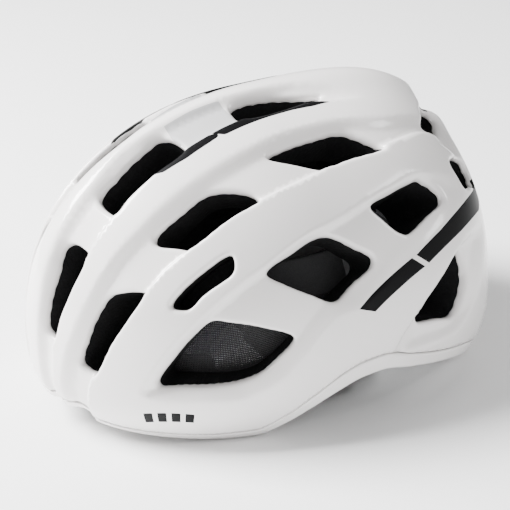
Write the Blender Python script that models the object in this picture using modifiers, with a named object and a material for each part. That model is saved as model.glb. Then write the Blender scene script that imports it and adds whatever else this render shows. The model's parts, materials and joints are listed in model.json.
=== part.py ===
"""Road cycling helmet: in-mould shell, foam liner, webbing harness and dial fit system.

Metres, +Z up. +X is the wearer's left, -Y the front. The origin is on the floor
that the helmet stands on, under the middle of its box.
"""
import math

import bmesh
import bpy
from mathutils import Vector

# ---- driving dimensions ---------------------------------------------------
CENTRE_Z = 0.0445            # height of the point that every wall is measured from
SHELL_HALF_WIDTH = 0.1017
SHELL_HALF_LENGTH = 0.1428
SHELL_HEIGHT_UP = 0.1273
SHELL_HEIGHT_DOWN = 0.0770
SHELL_EGG = 0.03             # how much wider the shell is behind than in front
RIB_RAISE = 0.0048           # the centre rib stands this much proud
RIB_WIDTH = 0.016
RIB_FADE = 0.060             # the rise fades out from this height above the centre
HEAD_HALF_WIDTH = 0.080      # the space for the head
HEAD_HALF_LENGTH = 0.103
HEAD_HEIGHT_UP = 0.105
HEAD_HEIGHT_DOWN = 0.160
SKIN = 0.0010                # moulded polycarbonate skin
GAP = 0.0003
AROUND = 48                  # stations round the rim
RINGS = 10                   # rings from crown to rim

WEB_WIDTH = 0.015            # harness webbing
WEB_THICK = 0.0015
FLOOR_CLEAR = 0.0004

PIVOT = Vector((0.0, -0.045, 0.030))     # height-adjust axis, along X through the temple studs
DIAL_Z = 0.030                           # dial axis, along Y
PITCH_RADIUS = 0.0035
PINION_TEETH = 10
TOOTH_PITCH = 2.0 * math.pi * PITCH_RADIUS / PINION_TEETH

# rim height by angle from the front; both sides are alike
RIM = [(0, 0.018), (11, 0.017), (16, 0.009), (24, 0.005), (33, 0.003), (45, 0.0005),
       (52.5, 0.0), (60, 0.0), (70, 0.009), (79, 0.019), (88, 0.027), (97, 0.032),
       (104, 0.033), (113, 0.029), (123, 0.024), (135, 0.017), (147, 0.006),
       (157.5, 0.0), (165, 0.0), (180, 0.014)]
# height of the band below the shell's edge
BAND = [(0, 0.005), (16, 0.005), (31, 0.006), (46, 0.007), (57, 0.008), (70, 0.0085),
        (80, 0.010), (90, 0.0115), (104, 0.011), (113, 0.010), (125, 0.009), (160, 0.010),
        (180, 0.008)]

# vent outlines on the left half, in degrees on a map of the shell centred on the crown:
# first number sideways, second number backwards
VENTS = {
    "front_inner": [(7.8, -60.5), (13.8, -59.6), (14.2, -67.3), (13.5, -73.8), (12.1, -80.9),
                    (10.1, -80.5), (9.2, -74.5), (8.6, -67.5)],
    "crown_inner": [(6, -27.9), (11.6, -25.8), (12.6, -34.8), (12.9, -43), (13.1, -47.8),
                    (7.2, -48.5), (6, -41.9), (5.4, -35.1)],
    "top_inner": [(6.6, -9.4), (5.9, 1), (8, 9.3), (9.3, 15.1), (9.9, 11), (10.6, -8.4)],
    "front_outer": [(25.6, -63.5), (27.5, -61), (33.5, -56.1), (33.7, -61.9), (32.7, -69.5),
                    (29.4, -82.4), (23.9, -83.1), (24.1, -76.2), (24.6, -69.6)],
    "crown_outer": [(26.4, -45.4), (27.8, -45.8), (32, -42.5), (34.5, -39.1), (34.5, -25.2),
                    (34.2, -16.9), (32.7, -17.3), (26.2, -27.1), (26, -36)],
    "top_outer": [(24.7, -8.6), (23.4, -2.7), (22.5, 6.6), (22.3, 14.9), (24.8, 19.4),
                  (27.5, 24.2), (30.6, 11.8), (31.3, 6), (29.3, -1.7)],
    "temple_slot": [(42.3, -52.5), (45.2, -50.8), (46.6, -48.7), (46.7, -43.5), (47.3, -33.4),
                    (46.3, -31.8), (43.3, -31), (42.3, -38.8)],
    "side": [(52.6, -24), (50.9, -13.7), (49.5, -5.4), (49.7, -0.9), (51, 2.5), (54.2, 8.3),
             (57.9, 14.8), (60, 14.6), (64.7, 6.4), (68.6, -2.5), (63.7, -12), (57.3, -20)],
    "rear_upper": [(44.3, 16.3), (40.7, 23.8), (37.6, 30.5), (36.6, 33.3), (38.7, 40),
                   (40.6, 40.8), (45.2, 36), (51.4, 28.2), (50.9, 24.4), (47.6, 19.3)],
    "temple": [(51.3, -73.2), (59.2, -67.4), (68.4, -58), (74.2, -49.5), (77.2, -40.3),
               (77.1, -33.1), (74.1, -22.5), (65.8, -31.6), (57.6, -41.3), (53.3, -46.2),
               (52.4, -52.7), (51.7, -62.6)],
    "rear_lower": [(50.3, 50), (52.4, 54.4), (55.4, 56.8), (60.8, 57.7), (67.4, 56.4),
                   (71.5, 48.7), (75.3, 37.5), (72.5, 36.2), (62.2, 42.2)],
    "exhaust_inner": [(2.6, 47), (8, 43.5), (14.5, 40), (21.4, 39.2), (20.5, 43), (16.8, 48.4),
                      (11, 51.6), (4, 52.6)],
    "exhaust_outer": [(24.5, 49), (28.2, 45.8), (31, 48), (32.8, 50.8), (30, 55), (25.5, 60),
                      (21.5, 59), (20.6, 55)],
}

# ---- small tools ----------------------------------------------------------
bpy.context.view_layer.update()
for old in list(bpy.data.objects):
    bpy.data.objects.remove(old, do_unlink=True)

helmet = bpy.data.collections.new("road_helmet")
cutters = bpy.data.collections.new("cutters")
bpy.context.scene.collection.children.link(helmet)
bpy.context.scene.collection.children.link(cutters)


def finish(name, colour, rough, metal=0.0):
    """A Principled material."""
    made = bpy.data.materials.new(name)
    made.use_nodes = True
    shader = made.node_tree.nodes["Principled BSDF"]
    shader.inputs["Base Color"].default_value = (*colour, 1.0)
    shader.inputs["Roughness"].default_value = rough
    shader.inputs["Metallic"].default_value = metal
    return made


def add(name, mesh_or_bmesh, material, where=helmet):
    """Link a mesh as an object, named as the piece, with its material."""
    if isinstance(mesh_or_bmesh, bmesh.types.BMesh):
        mesh = bpy.data.meshes.new(name)
        mesh_or_bmesh.to_mesh(mesh)
        mesh_or_bmesh.free()
    else:
        mesh = mesh_or_bmesh
    made = bpy.data.objects.new(name, mesh)
    where.objects.link(made)
    if material:
        mesh.materials.append(material)
    return made


def between(knots, angle):
    """Monotone cubic through the knots, read at an angle from the front."""
    a = abs(angle) % 360.0
    a = 360.0 - a if a > 180.0 else a
    xs = [k[0] for k in knots]
    ys = [k[1] for k in knots]
    steps = [(ys[i + 1] - ys[i]) / (xs[i + 1] - xs[i]) for i in range(len(xs) - 1)]
    slopes = [0.0]
    for i in range(1, len(xs) - 1):
        p, q = steps[i - 1], steps[i]
        slopes.append(0.0 if p * q <= 0 else 2.0 * p * q / (p + q))
    slopes.append(0.0)
    i = max(j for j in range(len(xs) - 1) if xs[j] <= a)
    w = xs[i + 1] - xs[i]
    u = (a - xs[i]) / w
    return ((2 * u ** 3 - 3 * u ** 2 + 1) * ys[i] + (u ** 3 - 2 * u ** 2 + u) * w * slopes[i]
            + (-2 * u ** 3 + 3 * u ** 2) * ys[i + 1] + (u ** 3 - u ** 2) * w * slopes[i + 1])


def shell_level(x, y, z):
    """Below 1 inside the shell's outer surface, above 1 outside it."""
    tail = max(-1.0, min(1.0, y / SHELL_HALF_LENGTH))
    up = z - CENTRE_Z
    height = SHELL_HEIGHT_UP if up > 0 else SHELL_HEIGHT_DOWN
    fore_aft = 3.52 if y > 0 else 2.04
    return (abs(x / (SHELL_HALF_WIDTH * (1 + SHELL_EGG * tail))) ** 1.85
            + abs(y / SHELL_HALF_LENGTH) ** fore_aft + abs(up / height) ** 2.22)


def head_level(x, y, z):
    """The same for the space that the head fills."""
    up = z - CENTRE_Z
    height = HEAD_HEIGHT_UP if up > 0 else HEAD_HEIGHT_DOWN
    return abs(x / HEAD_HALF_WIDTH) ** 2 + abs(y / HEAD_HALF_LENGTH) ** 2.1 + abs(up / height) ** 2


def reach(level, start, way):
    """Distance from start along way to where level is 1."""
    low, high = 0.0, 0.4
    for _ in range(40):
        mid = 0.5 * (low + high)
        p = start + way * mid
        if level(p.x, p.y, p.z) < 1.0:
            low = mid
        else:
            high = mid
    return low


CENTRE = Vector((0.0, 0.0, CENTRE_Z))


def bearing(around, down):
    """Unit direction: around in degrees from the front, down in degrees from the crown."""
    a, d = math.radians(around), math.radians(down)
    return Vector((math.sin(d) * math.sin(a), -math.sin(d) * math.cos(a), math.cos(d)))


def on_shell(way, inset=0.0):
    """Point of the shell's outer surface in a direction, moved inwards by inset."""
    r = reach(shell_level, CENTRE, way)
    climb = max(0.0, min(1.0, way.z * r / RIB_FADE))
    r += RIB_RAISE * (0.15 + 0.85 * climb) * math.exp(-((way.x * r) / RIB_WIDTH) ** 2)
    return CENTRE + way * (r - inset)


def on_head(way, inset=0.0):
    return CENTRE + way * (reach(head_level, CENTRE, way) - inset)


def down_to(surface, around, height, inset):
    """Angle from the crown at which a surface comes down to a height."""
    low, high = 20.0, 160.0
    for _ in range(30):
        mid = 0.5 * (low + high)
        if surface(bearing(around, mid), inset).z > height:
            low = mid
        else:
            high = mid
    return low


def split_quads(bm, place):
    """Split every quad from its upper corner nearest the front to the opposite one.

    place gives a vertex's (level, angle from the front), so that skins that lie against
    each other fold along the same diagonals.
    """
    for face in [f for f in bm.faces if len(f.verts) == 4]:
        corners = list(face.verts)
        first = min(corners, key=lambda v: (place[v][0], place[v][1]))
        opposite = corners[(corners.index(first) + 2) % 4]
        bmesh.utils.face_split(face, first, opposite)


def bowl(name, outer, inner, outer_down, inner_down, rings, material):
    """A closed bowl from a sphere: its upper rings become the outside, its lower rings the inside.

    outer and inner are (surface, inset); the downs give a ring's angle from the crown.
    """
    bm = bmesh.new()
    levels = 2 * rings + 1
    place = {}
    bmesh.ops.create_uvsphere(bm, u_segments=AROUND, v_segments=levels, radius=1.0)
    for vert in bm.verts:
        polar = math.degrees(math.acos(max(-1.0, min(1.0, vert.co.z))))
        around = math.degrees(math.atan2(vert.co.x, -vert.co.y))
        ring = round(polar / 180.0 * levels)
        if ring <= rings:
            surface, inset = outer
            down = outer_down(around, ring)
        else:
            surface, inset = inner
            down = inner_down(around, levels - ring)
        vert.co = surface(bearing(around, down), inset)
        place[vert] = (min(ring, levels - ring), round(abs(around), 2))
    split_quads(bm, place)
    bmesh.ops.recalc_face_normals(bm, faces=bm.faces)
    return add(name, bm, material)


def vent_cutter(name, blind=()):
    """All vents but the blind ones, both sides, as wedges that narrow towards the head."""
    bm = bmesh.new()
    for vent, outline in VENTS.items():
        if vent in blind:
            continue
        for side in (1, -1):
            rings = []
            for distance in (0.055, 0.200):
                ring = []
                for across, back in outline:
                    down = math.hypot(across, back)
                    way = Vector((side * across / down * math.sin(math.radians(down)),
                                  back / down * math.sin(math.radians(down)),
                                  math.cos(math.radians(down))))
                    ring.append(bm.verts.new(CENTRE + way * distance))
                rings.append(ring)
            inner, outer = rings
            bm.faces.new(inner)
            bm.faces.new(outer[::-1])
            for i in range(len(inner)):
                j = (i + 1) % len(inner)
                bm.faces.new((inner[i], outer[i], outer[j], inner[j]))
    bmesh.ops.recalc_face_normals(bm, faces=bm.faces)
    made = add(name, bm, None, cutters)
    made.hide_render = True
    made.display_type = "WIRE"
    return made


def cut(target, cutter):
    made = target.modifiers.new("cut", "BOOLEAN")
    made.operation = "DIFFERENCE"
    made.solver = "EXACT"
    made.object = cutter


def box_mesh(low, high):
    """A box between two corners."""
    bm = bmesh.new()
    bmesh.ops.create_cube(bm, size=1.0)
    for vert in bm.verts:
        vert.co = Vector([low[i] if vert.co[i] < 0 else high[i] for i in range(3)])
    return bm


def block(name, low, high, material, bevel=0.0):
    made = add(name, box_mesh(low, high), material)
    if bevel:
        soft = made.modifiers.new("edges", "BEVEL")
        soft.width = bevel
        soft.segments = 1
    return made


def hole(name, low, high):
    made = add(name, box_mesh(low, high), None, cutters)
    made.hide_render = True
    made.display_type = "WIRE"
    return made


def drum(bm, axis, centre, radius, length, sides, end_radius=None):
    """Add a cylinder or cone to a bmesh, along X, Y or Z; its first end is the lower one."""
    made = bmesh.ops.create_cone(bm, cap_ends=True, segments=sides, radius1=radius,
                                 radius2=radius if end_radius is None else end_radius,
                                 depth=length)
    for vert in made["verts"]:
        x, y, z = vert.co
        turned = {"X": (z, x, y), "Y": (x, z, -y), "Z": (x, y, z)}[axis]
        vert.co = Vector(turned) + Vector(centre)
    return made["verts"]


def drum_hole(name, axis, centre, radius, length, sides=16):
    bm = bmesh.new()
    drum(bm, axis, centre, radius, length, sides)
    made = add(name, bm, None, cutters)
    made.hide_render = True
    made.display_type = "WIRE"
    return made


def smooth_path(points, step):
    """Catmull-Rom curve through plan points, read at an even step."""
    pts = [Vector(p) for p in points]
    pts = [2 * pts[0] - pts[1]] + pts + [2 * pts[-1] - pts[-2]]
    fine = []
    for i in range(1, len(pts) - 2):
        a, b, c, d = pts[i - 1:i + 3]
        for k in range(12):
            t = k / 12.0
            fine.append(0.5 * (2 * b + (c - a) * t + (2 * a - 5 * b + 4 * c - d) * t * t
                               + (3 * b - a - 3 * c + d) * t ** 3))
    fine.append(pts[-2])
    total = sum((q - p).length for p, q in zip(fine, fine[1:]))
    count = max(2, round(total / step))
    read, walked, i = [fine[0]], 0.0, 0
    for k in range(1, count):
        target = total * k / count
        while walked + (fine[i + 1] - fine[i]).length < target:
            walked += (fine[i + 1] - fine[i]).length
            i += 1
        span = fine[i + 1] - fine[i]
        read.append(fine[i] + span * ((target - walked) / span.length))
    return read + [fine[-1]]


def strip(name, stations, thick, material):
    """A standing strip: stations are (x, y, low z, high z); Solidify gives it its thickness."""
    bm = bmesh.new()
    lower = [bm.verts.new((s[0], s[1], s[2])) for s in stations]
    upper = [bm.verts.new((s[0], s[1], s[3])) for s in stations]
    for i in range(len(stations) - 1):
        bm.faces.new((lower[i], lower[i + 1], upper[i + 1], upper[i]))
    made = add(name, bm, material)
    wall = made.modifiers.new("thickness", "SOLIDIFY")
    wall.thickness = thick
    wall.offset = 0.0
    wall.use_even_offset = True
    return made


def patch(name, place, across, along, thick, material):
    """A pad: a grid laid on a surface by place(u, v), with Solidify for its foam thickness."""
    bm = bmesh.new()
    bmesh.ops.create_grid(bm, x_segments=across, y_segments=along, size=0.5)
    for vert in bm.verts:
        vert.co = place(vert.co.x + 0.5, vert.co.y + 0.5)
    bmesh.ops.recalc_face_normals(bm, faces=bm.faces)
    middle = min(bm.faces, key=lambda f: (f.calc_center_median() - place(0.5, 0.5)).length)
    if middle.normal.dot(middle.calc_center_median() - CENTRE) < 0:
        bmesh.ops.reverse_faces(bm, faces=bm.faces)
    made = add(name, bm, material)
    wall = made.modifiers.new("thickness", "SOLIDIFY")
    wall.thickness = thick
    wall.offset = -1.0
    return made


white = finish("white_gloss", (0.86, 0.85, 0.84), 0.18)
foam = finish("black_foam", (0.014, 0.014, 0.015), 0.75)
padding = finish("pad_fabric", (0.02, 0.02, 0.022), 0.95)
webbing = finish("webbing", (0.018, 0.018, 0.02), 0.85)
nylon = finish("black_nylon", (0.02, 0.02, 0.021), 0.42)
grey_nylon = finish("grey_nylon", (0.10, 0.10, 0.105), 0.45)
rubber = finish("rubber", (0.016, 0.016, 0.017), 0.7)
steel = finish("steel", (0.55, 0.55, 0.56), 0.3, 1.0)


# ---- shell, liner and lower band --------------------------------------------
def rim(around):
    return between(RIM, around)


def seam(around):
    return rim(around) + between(BAND, around)


def seam_down(around):
    return down_to(on_shell, around, seam(around), 0.0)


def rim_down(around):
    return down_to(on_shell, around, rim(around), 0.0)


def shell_ring(around, ring):
    """Rings of the shell, evenly spaced from the crown to its edge."""
    return seam_down(around) * ring / RINGS


def liner_ring(around, ring):
    """The shell's rings, then two more behind the band."""
    if ring <= RINGS:
        return shell_ring(around, ring)
    if ring == RINGS + 1:
        return 0.5 * (seam_down(around) + rim_down(around))
    return down_to(on_shell, around, rim(around) + SKIN + GAP, SKIN + GAP)


def head_ring(around, ring):
    """Rings of the space for the head, evenly spaced to the liner's inner edge."""
    return down_to(on_head, around, rim(around) + LINER_EDGE_RISE, 0.0) * ring / (RINGS + 2)


LINER_EDGE_RISE = 0.003
outer_shell = bowl("outer_shell", (on_shell, 0.0), (on_shell, SKIN), shell_ring, shell_ring,
                   RINGS, white)
cut(outer_shell, vent_cutter("shell_vents"))
liner = bowl("eps_liner", (on_shell, SKIN + GAP), (on_head, 0.0), liner_ring, head_ring,
             RINGS + 2, foam)
# the temple slots are blind: the foam closes them behind the shell
cut(liner, vent_cutter("liner_vents", blind=("temple_slot",)))

FLANGE = 0.011               # the band turns in under the liner by this much


def lower_section(around, corner):
    """The eight corners of the band's section, from its outer top edge round to its inner one."""
    top, low = seam_down(around) + 0.18, rim_down(around)
    middle = 0.5 * (seam_down(around) + low)
    downs = {0: top, 1: middle, 2: low, 6: middle, 7: top}
    if corner in downs:
        return on_shell(bearing(around, downs[corner]), SKIN if corner > 5 else 0.0)
    if corner == 5:
        down = down_to(on_shell, around, rim(around) + SKIN, SKIN)
        return on_shell(bearing(around, down), SKIN)
    p = on_shell(bearing(around, low), 0.0)
    flat = Vector((p.x, p.y, 0.0)).normalized() * FLANGE
    return p - flat + Vector((0, 0, 0 if corner == 3 else SKIN))


SECTION = 8
bpy.ops.mesh.primitive_torus_add(major_segments=AROUND, minor_segments=SECTION,
                                 major_radius=1.0, minor_radius=0.25)
ring = bpy.context.active_object
ring.name = "lower_shell"
ring.data.name = "lower_shell"
for owner in list(ring.users_collection):
    owner.objects.unlink(ring)
helmet.objects.link(ring)
bm = bmesh.new()
bm.from_mesh(ring.data)
LEVELS = {0: 0.0, 1: 1.0, 2: 2.0, 3: 3.0, 4: 3.5, 5: 2.0, 6: 1.0, 7: 0.1}
place = {}
for vert in bm.verts:
    around = math.degrees(math.atan2(vert.co.x, -vert.co.y))
    spoke = math.hypot(vert.co.x, vert.co.y) - 1.0
    turn = math.degrees(math.atan2(vert.co.z, spoke)) % 360.0
    # the torus section is walked from its outside, downwards
    corner = (SECTION - round(turn / 360.0 * SECTION)) % SECTION
    vert.co = lower_section(around, corner)
    place[vert] = (LEVELS[corner], round(abs(around), 2))
split_quads(bm, place)
bmesh.ops.recalc_face_normals(bm, faces=bm.faces)
bm.to_mesh(ring.data)
bm.free()
ring.data.materials.append(white)

# ---- comfort pads -------------------------------------------------------------
PAD = 0.006


def wall_point(around, height, inset):
    """Point of the head space's wall at an angle from the front and a height."""
    a = math.radians(around)
    way = Vector((math.sin(a), -math.cos(a), 0.0))
    start = Vector((0.0, 0.0, height))
    return start + way * (reach(head_level, start, way) - inset)


def map_point(across, back, inset):
    """Point of the head space's wall by its place on the crown map."""
    down = max(1e-6, math.hypot(across, back))
    s = math.sin(math.radians(down))
    way = Vector((across / down * s, back / down * s, math.cos(math.radians(down))))
    return on_head(way, inset)


patch("brow_pad", lambda u, v: wall_point(-46 + 92 * u, 0.026 + 0.024 * v, GAP + 0.0004),
      12, 2, PAD, padding)
patch("crown_pad", lambda u, v: map_point(-7 + 14 * u, -44 + 84 * v, GAP + 0.0004),
      2, 8, PAD, padding)
for side, word in ((1, "left"), (-1, "right")):
    patch("side_pad_" + word,
          lambda u, v, side=side: wall_point(side * (66 + 38 * u), 0.076 + 0.022 * v,
                                             GAP + 0.0006),
          5, 2, PAD, padding)

# ---- height adjustment: temple studs, rail and rear cradle -----------------------
STUD_RADIUS = 0.0028
stud_wall = reach(head_level, Vector((0, PIVOT.y, PIVOT.z)), Vector((1, 0, 0)))
for side, word in ((1, "left"), (-1, "right")):
    bm = bmesh.new()
    drum(bm, "X", (side * (stud_wall - 0.0042), PIVOT.y, PIVOT.z), 0.0062, 0.0016, 20)
    base = add("temple_stud_" + word, bm, nylon)
    stem = bmesh.new()
    drum(stem, "X", (side * (stud_wall - 0.0126), PIVOT.y, PIVOT.z), STUD_RADIUS, 0.0170, 20)
    stem_object = add("stud_stem_" + word, stem, None, cutters)
    stem_object.hide_render = True
    stem_object.display_type = "WIRE"
    union = base.modifiers.new("stem", "BOOLEAN")
    union.operation = "UNION"
    union.solver = "EXACT"
    union.object = stem_object

RAIL = [(0.0955, 0.060), (0.0930, 0.072), (0.0890, 0.084), (0.0830, 0.097)]


def sloped_plate(name, half_width, profile, thick, material):
    """A plate across X that follows a profile of (y, z) points."""
    bm = bmesh.new()
    left = [bm.verts.new((half_width, y, z)) for y, z in profile]
    right = [bm.verts.new((-half_width, y, z)) for y, z in profile]
    for i in range(len(profile) - 1):
        bm.faces.new((left[i], left[i + 1], right[i + 1], right[i]))
    made = add(name, bm, material)
    wall = made.modifiers.new("thickness", "SOLIDIFY")
    wall.thickness = thick
    wall.offset = 0.0
    return made


sloped_plate("height_rail", 0.012, RAIL, 0.0018, grey_nylon)

PLATE_FRONT = 0.0780
PLATE_BACK = 0.0800
cradle_profile = [(PLATE_FRONT + 0.001, 0.0165), (PLATE_FRONT + 0.001, 0.0300),
                  (PLATE_FRONT + 0.001, 0.0440), (0.0815, 0.0560), (0.0825, 0.0680),
                  (0.0790, 0.0800)]
cradle = sloped_plate("fit_cradle", 0.024, cradle_profile, PLATE_BACK - PLATE_FRONT, nylon)
cut(cradle, drum_hole("cradle_hole", "Y", (0, 0.079, DIAL_Z), 0.0032, 0.01))
cut(cradle, hole("cradle_window", (-0.014, 0.070, 0.050), (0.014, 0.092, 0.073)))

HOUSING_BACK = 0.0884
housing = block("dial_housing", (-0.026, PLATE_BACK + GAP, 0.0150), (0.026, HOUSING_BACK, 0.0450),
                nylon)
cut(housing, hole("housing_pocket", (-0.022, 0.070, 0.0190), (0.022, 0.0862, 0.0410)))
cut(housing, hole("housing_slots", (-0.030, 0.0812, 0.0205), (0.030, 0.0852, 0.0395)))
cut(housing, drum_hole("housing_bore", "Y", (0, 0.088, DIAL_Z), 0.0029, 0.01))

for side, word in ((1, "left"), (-1, "right")):
    low_x, high_x = sorted((side * 0.0060, side * 0.0225))
    block("nape_pad_" + word, (low_x, PLATE_FRONT - GAP - 0.0045, 0.0175),
          (high_x, PLATE_FRONT - GAP, 0.0425), padding)

# ---- dial: knob, pinion and its screw -------------------------------------------
KNOB_FRONT, KNOB_BACK = HOUSING_BACK + GAP, 0.0968
bm = bmesh.new()
drum(bm, "Y", (0, 0.5 * (KNOB_FRONT + KNOB_BACK), DIAL_Z), 0.0145, KNOB_BACK - KNOB_FRONT, 28,
     0.0130)
knob = add("dial_knob", bm, grey_nylon)
SHAFT_END = 0.0818
shaft = bmesh.new()
drum(shaft, "Y", (0, 0.5 * (SHAFT_END + KNOB_BACK) - 0.002, DIAL_Z), 0.0025,
     KNOB_BACK - SHAFT_END - 0.004, 20)
shaft_object = add("knob_shaft", shaft, None, cutters)
shaft_object.hide_render = True
shaft_object.display_type = "WIRE"
join = knob.modifiers.new("shaft", "BOOLEAN")
join.operation = "UNION"
join.solver = "EXACT"
join.object = shaft_object
cut(knob, drum_hole("screw_bore", "Y", (0, 0.084, DIAL_Z), 0.0012, 0.009, 12))

PINION_FRONT, PINION_BACK = 0.0822, 0.0852
ROOT_RADIUS, TIP_RADIUS = 0.0029, 0.0039
bm = bmesh.new()
ring_points = []
for tooth in range(PINION_TEETH):
    for share, radius in ((-0.25, ROOT_RADIUS), (-0.11, TIP_RADIUS), (0.11, TIP_RADIUS),
                          (0.25, ROOT_RADIUS)):
        a = 2 * math.pi * (tooth + share) / PINION_TEETH
        ring_points.append((radius * math.cos(a), radius * math.sin(a)))
front = [bm.verts.new((x, PINION_FRONT, DIAL_Z + z)) for x, z in ring_points]
back = [bm.verts.new((x, PINION_BACK, DIAL_Z + z)) for x, z in ring_points]
bm.faces.new(front)
bm.faces.new(back[::-1])
for i in range(len(front)):
    j = (i + 1) % len(front)
    bm.faces.new((front[i], back[i], back[j], front[j]))
bmesh.ops.recalc_face_normals(bm, faces=bm.faces)
pinion = add("dial_pinion", bm, grey_nylon)
cut(pinion, drum_hole("pinion_bore", "Y", (0, 0.084, DIAL_Z), 0.00256, 0.01, 20))

bm = bmesh.new()
drum(bm, "Y", (0, 0.0811, DIAL_Z), 0.0022, 0.0010, 16)
screw = add("dial_screw", bm, steel)
stem = bmesh.new()
drum(stem, "Y", (0, 0.0836, DIAL_Z), 0.0010, 0.0050, 12)
stem_object = add("screw_stem", stem, None, cutters)
stem_object.hide_render = True
stem_object.display_type = "WIRE"
join = screw.modifiers.new("stem", "BOOLEAN")
join.operation = "UNION"
join.solver = "EXACT"
join.object = stem_object

# ---- headband arms with their racks -----------------------------------------------
ARM_Y = 0.0832               # the racks' middle plane
ARM_THICK = 0.0016
ARM_LOW, ARM_HIGH = 0.0235, 0.0365
RACK_GAP, RACK_HEIGHT = 0.0031, 0.0037       # from the dial's axis to a rack's teeth, and its height
RACK_START, RACK_TEETH, TOOTH_HEIGHT = 0.0245, 8, 0.0011
ARM_PATH = [(0.0640, -0.0500), (0.0655, -0.0300), (0.0670, 0.0000), (0.0660, 0.0280),
            (0.0585, 0.0560), (0.0480, 0.0740), (0.0360, 0.0825), (0.0290, ARM_Y)]


def arm_stations(side):
    """Stations from the temple to the rack's free end; side 1 is the left arm."""
    stations = [(side * p.x, p.y, ARM_LOW, ARM_HIGH) for p in smooth_path(ARM_PATH, 0.011)]
    # inside the housing the left arm narrows to a rack below the pinion, the right above it
    if side > 0:
        low, high = DIAL_Z - RACK_GAP - RACK_HEIGHT, DIAL_Z - RACK_GAP
    else:
        low, high = DIAL_Z + RACK_GAP, DIAL_Z + RACK_GAP + RACK_HEIGHT
    stations.append((side * RACK_START, ARM_Y, low, high))
    # with ten teeth the pinion has a gap straight up and down, so a rack tooth stands at x = 0
    for tooth in range(RACK_TEETH - 1, -1, -1):
        for share, lowered in ((0.26, TOOTH_HEIGHT), (0.12, 0.0), (-0.12, 0.0),
                               (-0.26, TOOTH_HEIGHT)):
            x = side * (tooth + share) * TOOTH_PITCH
            if side > 0:
                stations.append((x, ARM_Y, low, high - lowered))
            else:
                stations.append((x, ARM_Y, low + lowered, high))
    return stations


for side, word in ((1, "left"), (-1, "right")):
    arm = strip("headband_arm_" + word, arm_stations(side), ARM_THICK, nylon)
    cut(arm, drum_hole("arm_eye_" + word, "X", (side * 0.064, PIVOT.y, PIVOT.z),
                       STUD_RADIUS + 0.00035, 0.012, 20))

# ---- harness: anchors, webbing, dividers and buckle ---------------------------------
WEB_LOW = FLOOR_CLEAR
WEB_HIGH = FLOOR_CLEAR + WEB_WIDTH
DIVIDER_X, DIVIDER_Y = 0.0540, 0.0060
DIVIDER_HALF = 0.0105
DIVIDER_THICK = 0.0060
BUCKLE_Y = DIVIDER_Y
FEMALE_LOW, FEMALE_HIGH = -0.0020, 0.0260

FRONT_ROUTE = [(0.0600, -0.0520), (0.0500, -0.0600), (0.0390, -0.0520), (0.0380, -0.0340),
               (0.0470, -0.0200), (DIVIDER_X, DIVIDER_Y - DIVIDER_HALF - GAP)]
REAR_ROUTE = [(0.0430, 0.0750), (0.0340, 0.0690), (0.0310, 0.0550), (0.0380, 0.0400),
              (0.0500, 0.0300), (DIVIDER_X, DIVIDER_Y + DIVIDER_HALF + GAP)]


def web_strip(name, route, side, material, low=WEB_LOW, high=WEB_HIGH):
    stations = [(side * p.x, p.y, low, high) for p in smooth_path(route, 0.006)]
    return strip(name, stations, WEB_THICK, material)


def turned_block(name, centre, angle, size, material):
    """A block of (thickness, width, height) with its thickness towards an angle from the front."""
    bm = box_mesh((-size[0] / 2, -size[1] / 2, 0.0), (size[0] / 2, size[1] / 2, size[2]))
    made = add(name, bm, material)
    made.location = centre
    made.rotation_euler = (0.0, 0.0, math.radians(angle - 90.0))
    return made


ANCHOR = (0.0026, 0.0170, 0.0105)
ANCHOR_GAP = 0.0009


def wall_facing(point):
    """Level direction that points straight into the liner from the head space."""
    tiny = 1e-4
    here = head_level(*point)
    slope = Vector((head_level(point.x + tiny, point.y, point.z) - here,
                    head_level(point.x, point.y + tiny, point.z) - here, 0.0))
    return slope.normalized()


for side, word in ((1, "left"), (-1, "right")):
    for place, around, height in (("front", 49.0, 0.0070), ("rear", 150.0, 0.0080)):
        spot = wall_point(side * around, height, 0.0)
        facing = wall_facing(spot)
        spot -= facing * (0.5 * ANCHOR[0] + ANCHOR_GAP)
        turn = math.degrees(math.atan2(facing.x, -facing.y))
        turned_block("strap_anchor_" + place + "_" + word, spot, turn, ANCHOR, nylon)
    web_strip("front_strap_" + word, FRONT_ROUTE, side, webbing)
    web_strip("rear_strap_" + word, REAR_ROUTE, side, webbing)

    inner, outer = DIVIDER_X - 0.5 * DIVIDER_THICK, DIVIDER_X + 0.5 * DIVIDER_THICK
    low_x, high_x = sorted((side * inner, side * outer))
    divider = block("divider_" + word, (low_x, DIVIDER_Y - DIVIDER_HALF, WEB_LOW),
                    (high_x, DIVIDER_Y + DIVIDER_HALF, WEB_HIGH + 0.0025), nylon)
    # the cam lever closes over the divider's outer face and turns on its rear edge
    lever_in = outer + GAP
    low_x, high_x = sorted((side * lever_in, side * (lever_in + 0.0022)))
    block("cam_lever_" + word, (low_x, DIVIDER_Y - DIVIDER_HALF + 0.001, WEB_LOW + 0.0015),
          (high_x, DIVIDER_Y + DIVIDER_HALF, WEB_HIGH), grey_nylon)

chin_in = DIVIDER_X - 0.5 * DIVIDER_THICK - GAP
web_strip("chin_strap_left", [(chin_in, BUCKLE_Y), (0.0450, BUCKLE_Y), (0.0390, BUCKLE_Y + 0.004),
                              (0.0330, BUCKLE_Y + 0.001), (FEMALE_HIGH + GAP, BUCKLE_Y)],
          1, webbing)
MALE_TAIL = -0.0220
web_strip("chin_strap_right", [(chin_in, BUCKLE_Y), (0.0450, BUCKLE_Y), (0.0300, BUCKLE_Y),
                               (0.0150, BUCKLE_Y)], -1, webbing)

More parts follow.
